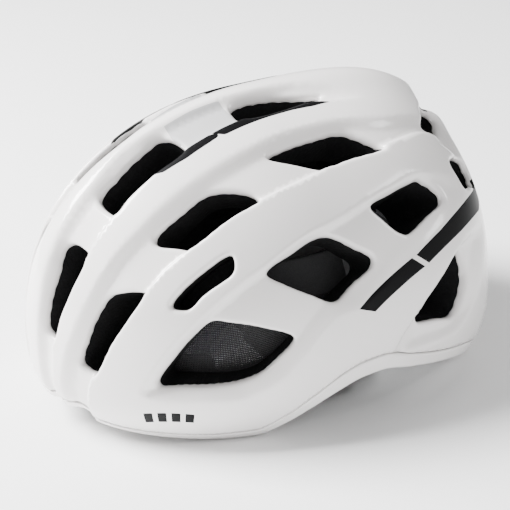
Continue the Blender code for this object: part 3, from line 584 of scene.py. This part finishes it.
shell = mesh_object("shell_skin", points, faces)
middles = chart[tris].mean(1)
middles[:, 0] = np.abs(middles[:, 0])
slots = np.full(len(faces), WHITE, np.int32)
for line, slot in marks:
    slots[:len(tris)][within(middles, line)] = slot


def new_nodes(tree, *kinds):
    return [tree.nodes.new(kind) for kind in kinds]


def wire(tree, *rows):
    """Link nodes: each row is a node and its output, then a node and its input."""
    for source, out, sink, into in rows:
        tree.links.new(source.outputs[out], sink.inputs[into])


def named_sockets(tree, *rows):
    """Give a node group its named inputs and outputs."""
    for label, direction, kind in rows:
        tree.interface.new_socket(label, in_out=direction, socket_type="NodeSocket" + kind)


def grain_group():
    """Shared fine relief: noise in object space as a normal, and a mask for colour."""
    tree = bpy.data.node_groups.new("grain", "ShaderNodeTree")
    named_sockets(tree, ("Scale", "INPUT", "Float"), ("Height", "INPUT", "Float"),
                  ("Normal", "OUTPUT", "Vector"), ("Mask", "OUTPUT", "Float"))
    inside, outside, where, noise, bump = new_nodes(
        tree, "NodeGroupInput", "NodeGroupOutput", "ShaderNodeTexCoord", "ShaderNodeTexNoise",
        "ShaderNodeBump")
    noise.inputs["Detail"].default_value = 3.0
    wire(tree, (where, "Object", noise, "Vector"), (inside, "Scale", noise, "Scale"),
         (inside, "Height", bump, "Distance"), (noise, "Fac", bump, "Height"),
         (bump, "Normal", outside, "Normal"), (noise, "Fac", outside, "Mask"))
    return tree


GRAIN = grain_group()


def grained(material, shader, scale, height, dark, light):
    """Give a material the shared grain, with its colour between two."""
    tree = material.node_tree
    grain, mix = new_nodes(tree, "ShaderNodeGroup", "ShaderNodeMix")
    grain.node_tree = GRAIN
    grain.inputs["Scale"].default_value = scale
    grain.inputs["Height"].default_value = height
    mix.data_type = "RGBA"
    mix.inputs["A"].default_value = (*dark, 1.0)
    mix.inputs["B"].default_value = (*light, 1.0)
    wire(tree, (grain, "Mask", mix, "Factor"), (mix, "Result", shader, "Base Color"),
         (grain, "Normal", shader, "Normal"))
    return material


gloss_white, white_shader = plain("gloss_white", (0.86, 0.835, 0.825), 0.22)
white_shader.inputs["Coat Weight"].default_value = 0.6
white_shader.inputs["Coat Roughness"].default_value = 0.09
# formed sheet is never quite flat: a very shallow orange peel, and ink with a faint mottle
grained(gloss_white, white_shader, 260.0, 0.000012,
        (0.852, 0.827, 0.817), (0.868, 0.843, 0.833))
print_black, black_shader = plain("print_black", (0.004, 0.004, 0.0045), 0.42)
black_shader.inputs["Specular IOR Level"].default_value = 0.08
grained(print_black, black_shader, 1400.0, 0.00001,
        (0.003, 0.003, 0.0034), (0.005, 0.005, 0.0056))
# painted shade: a grey for the recessed floor of the inner channel, where the recess lies in shade
recess_shade_paint, recess_shade_shader = plain("recess_shade_paint", (0.50, 0.50, 0.505), 0.40)
grained(recess_shade_paint, recess_shade_shader, 1400.0, 0.00001, (0.485, 0.485, 0.49), (0.515, 0.515, 0.52))
for material in (gloss_white, print_black, recess_shade_paint):
    shell.data.materials.append(material)
shell.data.polygons.foreach_set("material_index", slots)


def skinned(made):
    """Give an open skin its thickness, inwards."""
    wall = made.modifiers.new("skin", "SOLIDIFY")
    wall.thickness = SKIN
    wall.offset = -1.0


skinned(shell)
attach(shell, "helmet")
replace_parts(shell, "outer_shell")

# ---- foam liner -------------------------------------------
# One moulding of black expanded polystyrene, fused to the skin. It shows as the walls of the
# vents and fills the space between the skin and the head. It has the fine grain of its beads.
FOAM_GAP = 0.0012             # under the skin's face
FOAM_LIFT = 0.0022            # above the rim, where the band turns in
FOAM_GRID = 2.2               # degrees
THINNEST = 0.006
WALL_ROWS, SLOT_ROW = 5, 3
SLOT_END, SLOT_NEAR = (46.2, -44.1), 0.9      # a point of the temple slot's outline
liner_edge = edge_line(lambda a: curve(RIM, a) + FOAM_LIFT, 1.6)
liner_holes = [closed_curve(inset(closed_curve(p, 0.8), -0.25), 1.2) for p in VENTS.values()]
liner_chart, liner_tris = half_map(liner_edge, liner_holes, [], FOAM_GRID)
liner_chart, liner_tris = whole_map(liner_chart, liner_tris)
liner_ways = ways(liner_chart)
# the foam keeps under the deepest relief near each point
deepest = np.max([relief(liner_chart + offset) for offset in (
    (0, 0), (FOAM_GRID, 0), (-FOAM_GRID, 0), (0, FOAM_GRID), (0, -FOAM_GRID), (1.2, 1.2),
    (-1.2, -1.2))], axis=0)
outer_r = skin_radius(liner_chart) + relief(liner_chart) - deepest - FOAM_GAP
inner_r = np.minimum(reach(head_level, liner_ways), outer_r - THINNEST)
outer_points = CENTRE + liner_ways * outer_r[:, None]
inner_points = CENTRE + liner_ways * inner_r[:, None]
count = len(liner_chart)
outer_faces = outward(outer_points, liner_tris)
points = np.vstack((outer_points, inner_points))
faces = [tuple(f) for f in outer_faces] + [(a + count, c + count, b + count)
                                           for a, b, c in outer_faces]
walls = border_edges(outer_faces)
rows = {v: [v] for v in {a for a, b in walls}}
extra = []
for v in rows:
    for k in range(1, WALL_ROWS):
        rows[v].append(2 * count + len(extra))
        extra.append(outer_points[v] + (inner_points[v] - outer_points[v]) * k / WALL_ROWS)
    rows[v].append(v + count)
points = np.vstack((points, np.array(extra)))
for a, b in walls:
    for k in range(WALL_ROWS):
        faces.append((rows[b][k], rows[a][k], rows[a][k + 1], rows[b][k + 1]))
# the temple slots are blind: foam closes them partway down
following = dict(walls)
for v in rows:
    if (abs(abs(liner_chart[v, 0]) - SLOT_END[0]) < SLOT_NEAR
            and abs(liner_chart[v, 1] - SLOT_END[1]) < SLOT_NEAR):
        loop = [v]
        while following[loop[-1]] != v:
            loop.append(following[loop[-1]])
        faces.append(tuple(rows[w][SLOT_ROW] for w in loop))
        for w in loop:
            following[w] = w
liner = mesh_object("liner_foam", points, faces)
liner.data.set_sharp_from_angle(angle=math.radians(50))
foam_black, foam_shader = plain("foam_black", (0.010, 0.010, 0.011), 0.85)
foam_shader.inputs["Specular IOR Level"].default_value = 0.12
grained(foam_black, foam_shader, 620.0, 0.0004, (0.003, 0.003, 0.0034), (0.009, 0.009, 0.0095))
liner.data.materials.append(foam_black)
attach(liner, "helmet")
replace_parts(liner, "eps_liner")

# ---- lower band -------------------------------------------
# A second white moulding round the rim. A fine joint line parts it from the outer shell, and it
# turns in under the foam, to which it is fused.
SEAM_GAP = 0.0006
SEAM_RADIUS, DEGREES = 0.1, 57.3      # mean radius at the joint line, degrees in a radian
FLANGE = 0.0105
FLANGE_LIFT = 0.0001                  # above the floor
# rows down the band: share of the way from the joint line to the rim, and how deep it lies
BAND_ROWS = ((0.0, 0.0036), (0.0, 0.0010), (0.025, 0.0003), (0.07, 0.0), (0.25, 0.0), (0.45, 0.0),
             (0.65, 0.0), (0.80, 0.0), (0.90, 0.0002), (0.97, 0.0009), (1.0, 0.0020))
around = np.arange(0.0, 360.0, 1.5)
folded = np.where(around > 180, 360 - around, around)
rim_here = np.maximum(curve(RIM, folded), 0.0)
top = down_to_height(folded, seam_height)
low = down_to_height(folded, lambda a: curve(RIM, a))
band_rows = []
for share, sunk in BAND_ROWS:
    down = top + (low - top) * share + (SEAM_GAP / SEAM_RADIUS) * DEGREES * (1 - share)
    a = np.radians(around)
    band_chart = np.stack((down * np.sin(a), -down * np.cos(a)), 1)
    row = CENTRE + ways(band_chart) * (skin_radius(band_chart) - sunk)[:, None]
    row[:, 2] = np.maximum(row[:, 2], rim_here)
    band_rows.append(row)
flat = band_rows[-1] * (1, 1, 0)
flat /= np.linalg.norm(flat, axis=1)[:, None]
last = band_rows[-1]
for part in (0.35, 1.0):
    row = last - flat * FLANGE * part
    row[:, 2] = rim_here + FLANGE_LIFT
    band_rows.append(row)
n = len(around)
faces = [(k * n + i, (k + 1) * n + i, (k + 1) * n + (i + 1) % n, k * n + (i + 1) % n)
         for k in range(len(band_rows) - 1) for i in range(n)]
band = mesh_object("rim_band", np.vstack(band_rows), faces)


def faced_out(made):
    """Turn the faces of a piece outwards."""
    bm = bmesh.new()
    bm.from_mesh(made.data)
    bmesh.ops.recalc_face_normals(bm, faces=bm.faces)
    bm.to_mesh(made.data)
    bm.free()


faced_out(band)
band.data.set_sharp_from_angle(angle=math.radians(45))
band.data.materials.append(gloss_white)
skinned(band)
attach(band, "helmet")
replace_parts(band, "lower_shell")

# ---- comfort pads -----------------------------------------
# Cut foam faced with brushed polyester, welded round the edge. Hook-and-loop dots hold them to
# the foam; the nape pads are on the cradle.
PAD, PAD_EDGE, PAD_LEAST, PAD_GAP = 0.0062, 0.0016, 0.0010, 0.0007    # thicknesses and gap
PAD_GRID = 0.0011
PAD_SWELL = 0.0048                    # width of the rounded edge
CORNER, CORNER_PULL = 0.30, 0.75      # shares
WELD, WELD_AT, WELD_WIDTH = 0.0012, 0.0021, 0.0007
pad_fabric = grained(*plain("pad_fabric", (0.02, 0.02, 0.022), 0.95), 1500.0, 0.0002,
                     (0.010, 0.010, 0.011), (0.034, 0.034, 0.036))


def wall_places(around, height, inset):
    """Points of the head space's wall at angles from the front and heights."""
    a = np.radians(around)
    way = np.stack((np.sin(a), -np.cos(a), np.zeros(len(a))), 1)
    start = np.stack((np.zeros(len(a)), np.zeros(len(a)), height), 1)
    low, high = np.zeros(len(a)), np.full(len(a), 0.3)
    for _ in range(30):
        mid = 0.5 * (low + high)
        inside = head_level(start + way * mid[:, None]) < 1
        low, high = np.where(inside, mid, low), np.where(inside, high, mid)
    return start + way * (low - inset)[:, None]


def crown_places(across, back, inset):
    """Points of the head space's wall by their place on the crown map."""
    way = ways(np.stack((across, back), 1))
    return CENTRE + way * (reach(head_level, way) - inset)[:, None]


def cushion(name, place, size, body="helmet"):
    """A welded pad: place(u, v, inset) lays it out, size is its width and length in metres."""
    nu, nv = (max(8, round(length / PAD_GRID)) for length in size)
    u, v = (g.ravel() for g in np.meshgrid(np.linspace(0, 1, nu), np.linspace(0, 1, nv)))
    # distance from the pad's rounded outline, in metres
    x, y = (u - 0.5) * size[0], (v - 0.5) * size[1]
    corner = min(size) * CORNER
    qx = np.abs(x) - size[0] / 2 + corner
    qy = np.abs(y) - size[1] / 2 + corner
    out = (np.hypot(np.maximum(qx, 0), np.maximum(qy, 0)) + np.minimum(np.maximum(qx, qy), 0)
           - corner)
    pull = np.where(out > 0, out, 0)
    u = np.clip(u - np.sign(x) * pull / size[0] * CORNER_PULL, 0, 1)
    v = np.clip(v - np.sign(y) * pull / size[1] * CORNER_PULL, 0, 1)
    deep = np.clip(-out, 0, None)
    weld = WELD * np.exp(-((deep - WELD_AT) / WELD_WIDTH) ** 2)
    swell = 1 - np.clip(deep / PAD_SWELL, 0, 1)
    full = PAD_EDGE + (PAD - PAD_EDGE) * np.sqrt(np.clip(1 - swell ** 2, 0, 1))
    outer = place(u, v, PAD_GAP)
    inner = place(u, v, PAD_GAP + np.maximum(full - weld, PAD_LEAST))
    count = nu * nv
    faces = []
    for j in range(nv - 1):
        for i in range(nu - 1):
            a = j * nu + i
            faces.append((a, a + 1, a + nu + 1, a + nu))
            faces.append((count + a, count + a + nu, count + a + nu + 1, count + a + 1))
    loop = (list(range(nu)) + [j * nu + nu - 1 for j in range(1, nv)]
            + [(nv - 1) * nu + i for i in range(nu - 2, -1, -1)]
            + [j * nu for j in range(nv - 2, 0, -1)])
    for a, b in zip(loop, loop[1:] + loop[:1]):
        faces.append((b, a, count + a, count + b))
    made = mesh_object(name, np.vstack((outer, inner)), faces)
    faced_out(made)
    made.data.materials.append(pad_fabric)
    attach(made, body)
    return made


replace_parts(cushion("brow_cushion",
                    lambda u, v, d: wall_places(-46 + 92 * u, 0.026 + 0.024 * v, d),
                    (0.150, 0.024)), "brow_pad")
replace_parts(cushion("crown_cushion",
                    lambda u, v, d: crown_places(-7 + 14 * u, -44 + 84 * v, d),
                    (0.026, 0.150)), "crown_pad")
NAPE_Y, NAPE_TILT = 0.0776, 0.70
for side, word in ((1, "left"), (-1, "right")):
    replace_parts(cushion("side_cushion_" + word,
                        lambda u, v, d, side=side: wall_places(side * (66 + 38 * u),
                                                               0.076 + 0.022 * v, d),
                        (0.048, 0.022)), "side_pad_" + word)
    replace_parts(cushion("nape_cushion_" + word,
                        lambda u, v, d, side=side: np.stack(
                            (side * (0.0062 + 0.0162 * u), NAPE_Y - d * NAPE_TILT + 0 * u,
                             0.0176 + 0.0248 * v), 1),
                        (0.0162, 0.0248), "cradle"), "nape_pad_" + word)

# ---- shade nets -------------------------------------------
# A fine dark nylon net moulded into the foam closes each temple vent near the head, as on helmets
# with insect guards. It is painted shade: a dark sheet put so that nothing shows through these
# two vents, standing in for the shade inside the helmet.
NET_PITCH = 0.58              # degrees of the map between crossings
NET_DEPTH = 0.0030            # from the foam's inner face
STRAND = 0.00042              # radius
NET_HOLD = 1.0                # degrees that the net goes on inside the foam
# painted shade: the net's near-black nylon stands in for the shade inside the helmet, behind the
# temple vents
net_painted_shade = grained(*plain("net_painted_shade", (0.012, 0.012, 0.013), 0.7), 1500.0, 0.00005,
                    (0.008, 0.008, 0.009), (0.016, 0.016, 0.017))


def strand_tree():
    """Geometry Nodes: a strand along every edge of a lattice."""
    tree = bpy.data.node_groups.new("net_strands", "GeometryNodeTree")
    named_sockets(tree, ("Lattice", "INPUT", "Geometry"), ("Strand Radius", "INPUT", "Float"),
                  ("Material", "INPUT", "Material"), ("Net", "OUTPUT", "Geometry"))
    inside, outside, paths, ring, tube, real, paint = new_nodes(
        tree, "NodeGroupInput", "NodeGroupOutput", "GeometryNodeMeshToCurve",
        "GeometryNodeCurvePrimitiveCircle", "GeometryNodeCurveToMesh",
        "GeometryNodeRealizeInstances", "GeometryNodeSetMaterial")
    ring.inputs["Resolution"].default_value = 4
    wire(tree, (inside, "Lattice", paths, "Mesh"), (inside, "Strand Radius", ring, "Radius"),
         (paths, "Curve", tube, "Curve"), (ring, "Curve", tube, "Profile Curve"),
         (tube, "Mesh", real, "Geometry"), (real, "Geometry", paint, "Geometry"),
         (inside, "Material", paint, "Material"), (paint, "Geometry", outside, "Net"))
    return tree


STRANDS = strand_tree()
net_edge = inset(closed_curve(VENTS["temple"], 0.8), -NET_HOLD)
low, high = net_edge.min(0), net_edge.max(0)
across, along = (int(n) for n in (high - low) / NET_PITCH)
crossings = [(i, j) for i in range(across) for j in range(along) if (i + j) % 2 == 0]
net_chart = low + NET_PITCH * np.array(crossings)
held = within(net_chart, net_edge)
net_chart = net_chart[held]
number = {c: n for n, c in enumerate(c for c, h in zip(crossings, held) if h)}
lattice = [(n, number[i + 1, j + k]) for (i, j), n in number.items() for k in (1, -1)
           if (i + 1, j + k) in number]
net_ways = ways(net_chart)
net_points = CENTRE + net_ways * (reach(head_level, net_ways) + NET_DEPTH)[:, None]
for side, sign in (("left", 1), ("right", -1)):
    mesh = bpy.data.meshes.new("shade_net_" + side)
    mesh.from_pydata((net_points * (sign, 1, 1)).tolist(), lattice, [])
    draft = placed("net_draft", mesh)
    grow = draft.modifiers.new("strands", "NODES")
    grow.node_group = STRANDS
    given = {"Strand Radius": STRAND, "Material": net_painted_shade}
    for item in STRANDS.interface.items_tree:
        if item.name in given:
            grow[item.identifier] = given[item.name]
    bpy.context.view_layer.update()
    shape = bpy.data.meshes.new_from_object(draft.evaluated_get(
        bpy.context.evaluated_depsgraph_get()))
    bpy.data.objects.remove(draft)
    net = placed("shade_net_" + side, shape)
    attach(net, "helmet")

# ---- webbing ----------------------------------------------
# Polyester webbing, 15 mm wide. It is put away inside, standing on edge: from the anchors in
# the liner to the two dividers, and from there to the buckle under the chin.
WEB_WIDTH, WEB_THICK, WEB_LOW = 0.0150, 0.0014, 0.0004
DIVIDER_X, DIVIDER_Y, DIVIDER_HALF, DIVIDER_THICK = 0.0540, 0.0060, 0.0105, 0.0060
FRONT_ROUTE = [(0.0600, -0.0520), (0.0500, -0.0600), (0.0390, -0.0520), (0.0380, -0.0340),
               (0.0470, -0.0200), (DIVIDER_X, DIVIDER_Y - DIVIDER_HALF - 0.0003)]
REAR_ROUTE = [(0.0430, 0.0750), (0.0340, 0.0690), (0.0310, 0.0550), (0.0380, 0.0400),
              (0.0500, 0.0300), (DIVIDER_X, DIVIDER_Y + DIVIDER_HALF + 0.0003)]
CHIN_IN = DIVIDER_X - 0.5 * DIVIDER_THICK - 0.0003
CHIN_LEFT = [(CHIN_IN, DIVIDER_Y), (0.0450, DIVIDER_Y), (0.0390, DIVIDER_Y + 0.004),
             (0.0330, DIVIDER_Y + 0.001), (0.0263, DIVIDER_Y)]
CHIN_RIGHT = [(CHIN_IN, DIVIDER_Y), (0.0450, DIVIDER_Y), (0.0300, DIVIDER_Y),
              (0.0150, DIVIDER_Y)]

webbing, web_shader = plain("webbing", (0.018, 0.018, 0.02), 0.80)
tree = webbing.node_tree
uv, twill, picks, both, bump, mix = new_nodes(
    tree, "ShaderNodeUVMap", "ShaderNodeTexWave", "ShaderNodeTexWave", "ShaderNodeMath",
    "ShaderNodeBump", "ShaderNodeMix")
uv.uv_map = "weave"
twill.bands_direction, picks.bands_direction = "DIAGONAL", "Y"
twill.inputs["Scale"].default_value, picks.inputs["Scale"].default_value = 330.0, 260.0
both.operation = "MULTIPLY"
bump.inputs["Distance"].default_value = 0.0003
mix.data_type = "RGBA"
mix.inputs["A"].default_value = (0.007, 0.007, 0.008, 1.0)
mix.inputs["B"].default_value = (0.040, 0.040, 0.043, 1.0)
wire(tree, (uv, "UV", twill, "Vector"), (uv, "UV", picks, "Vector"), (twill, "Fac", both, 0),
     (picks, "Fac", both, 1), (both, "Value", bump, "Height"), (both, "Value", mix, "Factor"),
     (bump, "Normal", web_shader, "Normal"), (mix, "Result", web_shader, "Base Color"))


def open_curve(points, spacing):
    """Catmull-Rom through plan points, read evenly."""
    p = np.array(points, float)
    p = np.vstack((2 * p[0] - p[1], p, 2 * p[-1] - p[-2]))
    k = np.linspace(0, 1, 16, endpoint=False)[:, None]
    fine = [0.5 * (2 * b + (c - a) * k + (2 * a - 5 * b + 4 * c - d) * k ** 2
                   + (3 * b - a - 3 * c + d) * k ** 3)
            for a, b, c, d in zip(p, p[1:], p[2:], p[3:])]
    return resample(np.vstack(fine + [p[-2:-1]]), spacing, False)


WEB_STEP = 0.0012                     # along the webbing


def strap(name, route, side):
    """A standing strap of webbing along a plan route, with rolled selvedges."""
    line = open_curve(route, WEB_STEP) * (side, 1)
    ahead = np.gradient(line, axis=0)
    ahead /= np.linalg.norm(ahead, axis=1)[:, None]
    aside = np.stack((ahead[:, 1], -ahead[:, 0]), 1)
    across = np.linspace(0, 1, 13)
    half = 0.5 * WEB_THICK * np.sqrt(np.clip(1 - np.abs(2 * across - 1) ** 10, 0.04, 1))
    ring = list(zip(across, half)) + list(zip(across[::-1], -half[::-1]))
    points, faces, n = [], [], len(ring)
    for p, q in zip(line, aside):
        for v, h in ring:
            points.append((p[0] + q[0] * h, p[1] + q[1] * h, WEB_LOW + WEB_WIDTH * v))
    for i in range(len(line) - 1):
        for j in range(n):
            k = (j + 1) % n
            faces.append((i * n + j, i * n + k, (i + 1) * n + k, (i + 1) * n + j))
    faces += [tuple(range(n)), tuple((len(line) - 1) * n + j for j in reversed(range(n)))]
    made = mesh_object(name, points, faces)
    bm = bmesh.new()
    bm.from_mesh(made.data)
    bmesh.ops.recalc_face_normals(bm, faces=bm.faces)
    layer = bm.loops.layers.uv.new("weave")
    for face in bm.faces:
        for loop in face.loops:
            i, j = divmod(loop.vert.index, n)
            loop[layer].uv = (i * WEB_STEP, ring[j][0] * WEB_WIDTH)
    bm.to_mesh(made.data)
    bm.free()
    made.data.set_sharp_from_angle(angle=math.radians(60))
    made.data.materials.append(webbing)
    return made


for side, word in ((1, "left"), (-1, "right")):
    for place, route in (("front", FRONT_ROUTE), ("rear", REAR_ROUTE)):
        made = strap(place + "_webbing_" + word, route, side)
        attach(made, "helmet")
        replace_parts(made, place + "_strap_" + word)
made = strap("chin_webbing_left", CHIN_LEFT, 1)
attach(made, "helmet")
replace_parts(made, "chin_strap_left")
# the plug's own webbing, between the divider and the plug, gets a mesh of its own
made = strap("chin_webbing_right", CHIN_RIGHT, -1)
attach(made, "helmet")
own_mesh(made)
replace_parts(made, "chin_strap_right")

# the chin's sleeve of padded fabric, round the webbing
SLEEVE_FROM, SLEEVE_TO = 0.0290, 0.0480
SLEEVE_Y, SLEEVE_Z, SLEEVE_HALF_Y, SLEEVE_HALF_Z = 0.0079, 0.0089, 0.0061, 0.0085
SLEEVE_BORE_Y, SLEEVE_BORE_Z = 0.62, 0.90     # shares of the outside
stations, turns = 18, 40
points, faces = [], []
for i in range(stations):
    x = SLEEVE_FROM + (SLEEVE_TO - SLEEVE_FROM) * i / (stations - 1)
    swell = 1 - 0.16 * abs(2 * i / (stations - 1) - 1) ** 6
    for wide, high in ((1.0, 1.0), (SLEEVE_BORE_Y, SLEEVE_BORE_Z)):
        for j in range(turns):
            a = 2 * math.pi * j / turns
            c, d = math.cos(a), math.sin(a)
            k = swell * (abs(c) ** 5 + abs(d) ** 5) ** -0.2
            points.append((x, SLEEVE_Y + SLEEVE_HALF_Y * c * k * wide,
                           SLEEVE_Z + SLEEVE_HALF_Z * d * k * high))
for i in range(stations - 1):
    for j in range(turns):
        k = (j + 1) % turns
        a, b = 2 * i * turns, 2 * (i + 1) * turns
        faces.append((a + j, a + k, b + k, b + j))
        faces.append((a + turns + j, b + turns + j, b + turns + k, a + turns + k))
for a in (0, 2 * (stations - 1) * turns):
    for j in range(turns):
        k = (j + 1) % turns
        faces.append((a + j, a + turns + j, a + turns + k, a + k))
sleeve = mesh_object("chin_sleeve", points, faces)
faced_out(sleeve)
sleeve.data.materials.append(pad_fabric)
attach(sleeve, "helmet")
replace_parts(sleeve, "chin_pad")

# ---- dial knob --------------------------------------------
# Injection moulded grey nylon with a soft ribbed grip. It turns in the housing on its shaft,
# held by a screw from the front.
KNOB_Z, KNOB_FRONT, SHAFT_END = 0.030, 0.0887, 0.0818
KNOB_RIBS, RIB_DEPTH, RIB_FROM, RIB_TO, RIB_OUTSIDE = 28, 0.0006, 0.0896, 0.0957, 0.0130
PROFILE = [(0.0011, SHAFT_END), (0.0025, SHAFT_END), (0.0025, KNOB_FRONT - 0.0001),
           (0.0128, KNOB_FRONT), (0.0136, 0.0891), (0.0141, 0.0898), (0.0143, 0.0914),
           (0.0141, 0.0940), (0.0136, 0.0956), (0.0127, 0.0963), (0.0118, 0.0965),
           (0.0110, 0.0960), (0.0090, 0.0957), (0.0072, 0.0957), (0.0064, 0.0961),
           (0.0040, 0.0963), (0.0, 0.0963)]
turns = KNOB_RIBS * 8
points, faces = [], []
for radius_here, y in PROFILE:
    for j in range(turns):
        a = 2 * math.pi * j / turns
        ribbed = RIB_FROM <= y <= RIB_TO and radius_here > RIB_OUTSIDE
        grip = RIB_DEPTH * max(0.0, math.cos(a * KNOB_RIBS)) * ribbed
        r = max(radius_here - grip, 0.00002)
        points.append((r * math.cos(a), y, KNOB_Z + r * math.sin(a)))
for i in range(len(PROFILE) - 1):
    for j in range(turns):
        k = (j + 1) % turns
        faces.append((i * turns + j, i * turns + k, (i + 1) * turns + k, (i + 1) * turns + j))
faces.append(tuple(range(turns)))
faces.append(tuple((len(PROFILE) - 1) * turns + j for j in reversed(range(turns))))
knob = mesh_object("grip_knob", points, faces)
faced_out(knob)
knob.data.set_sharp_from_angle(angle=math.radians(50))
nylon_grey = grained(*plain("nylon_grey", (0.10, 0.10, 0.105), 0.48), 2200.0, 0.00004,
                     (0.085, 0.085, 0.090), (0.12, 0.12, 0.125))
knob.data.materials.append(nylon_grey)
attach(knob, "dial")
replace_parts(knob, "dial_knob")

# ---- moulded nylon, rubber and steel pieces ---------------
# Cradle, housing, arms, anchors, dividers, levers and buckle are injection moulded nylon with a
# fine spark-eroded grain, most with softened edges. The keeper is rubber, the screw is steel.
nylon_black = grained(*plain("nylon_black", (0.02, 0.02, 0.021), 0.42), 2200.0, 0.00004,
                      (0.014, 0.014, 0.015), (0.028, 0.028, 0.030))
rubber_black = grained(*plain("rubber_black", (0.016, 0.016, 0.017), 0.72), 900.0, 0.00008,
                       (0.012, 0.012, 0.013), (0.022, 0.022, 0.023))
screw_steel = grained(*plain("screw_steel", (0.55, 0.55, 0.56), 0.30, 1.0), 1800.0, 0.00002,
                      (0.48, 0.48, 0.49), (0.60, 0.60, 0.61))
# by the record's slot names: Blender may add a number to the materials' own
LOOKS = {"nylon_black": nylon_black, "nylon_grey": nylon_grey, "rubber_black": rubber_black,
         "screw_steel": screw_steel}
# edge radius of each moulding, in metres; pieces not listed keep their sharp solids
EDGES = {"fit_cradle": 0.0006, "strap_anchor": 0.0007, "divider": 0.0010, "cam_lever": 0.0006,
         "buckle_socket": 0.0012, "buckle_plug": 0.0010, "buckle_prong": 0.0004,
         "temple_stud": 0.0004, "height_rail": 0.0005, "strap_keeper": 0.0005}


def softened(node, radius, body, look):
    """The solid of a node with its edges rounded."""
    bm = bmesh.new()
    bm.from_mesh(frame["nodes"][node].data)
    bm.transform(frame["nodes"][node].matrix_world)
    bmesh.ops.remove_doubles(bm, verts=bm.verts, dist=1e-6)
    bmesh.ops.dissolve_limit(bm, angle_limit=math.radians(1.0), verts=bm.verts, edges=bm.edges)
    mesh = bpy.data.meshes.new(node + "_moulding")
    bm.to_mesh(mesh)
    bm.free()
    made = placed(node + "_moulding", mesh)
    mesh.shade_smooth()
    mesh.materials.clear()
    mesh.materials.append(LOOKS[look])
    edges = made.modifiers.new("edges", "BEVEL")
    edges.width = radius
    edges.segments = 3
    edges.limit_method = "ANGLE"
    edges.angle_limit = math.radians(40)
    edges.harden_normals = True
    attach(made, body)
    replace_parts(made, node)


owner = {n: b for b, nodes in frame["record"]["behaviour"]["bodies"].items() for n in nodes}
for row in frame["record"]["subparts"]:
    node, look = row["node"], row["material_slot"]
    if look not in LOOKS or node == "dial_knob":
        continue
    radius_here = next((r for start, r in EDGES.items() if node.startswith(start)), 0.0)
    if radius_here:
        softened(node, radius_here, owner[node], look)
        continue
    kept = frame["nodes"][node]
    if not kept.material_slots:
        kept.data.materials.append(None)
    for held in kept.material_slots:
        held.material = LOOKS[look]
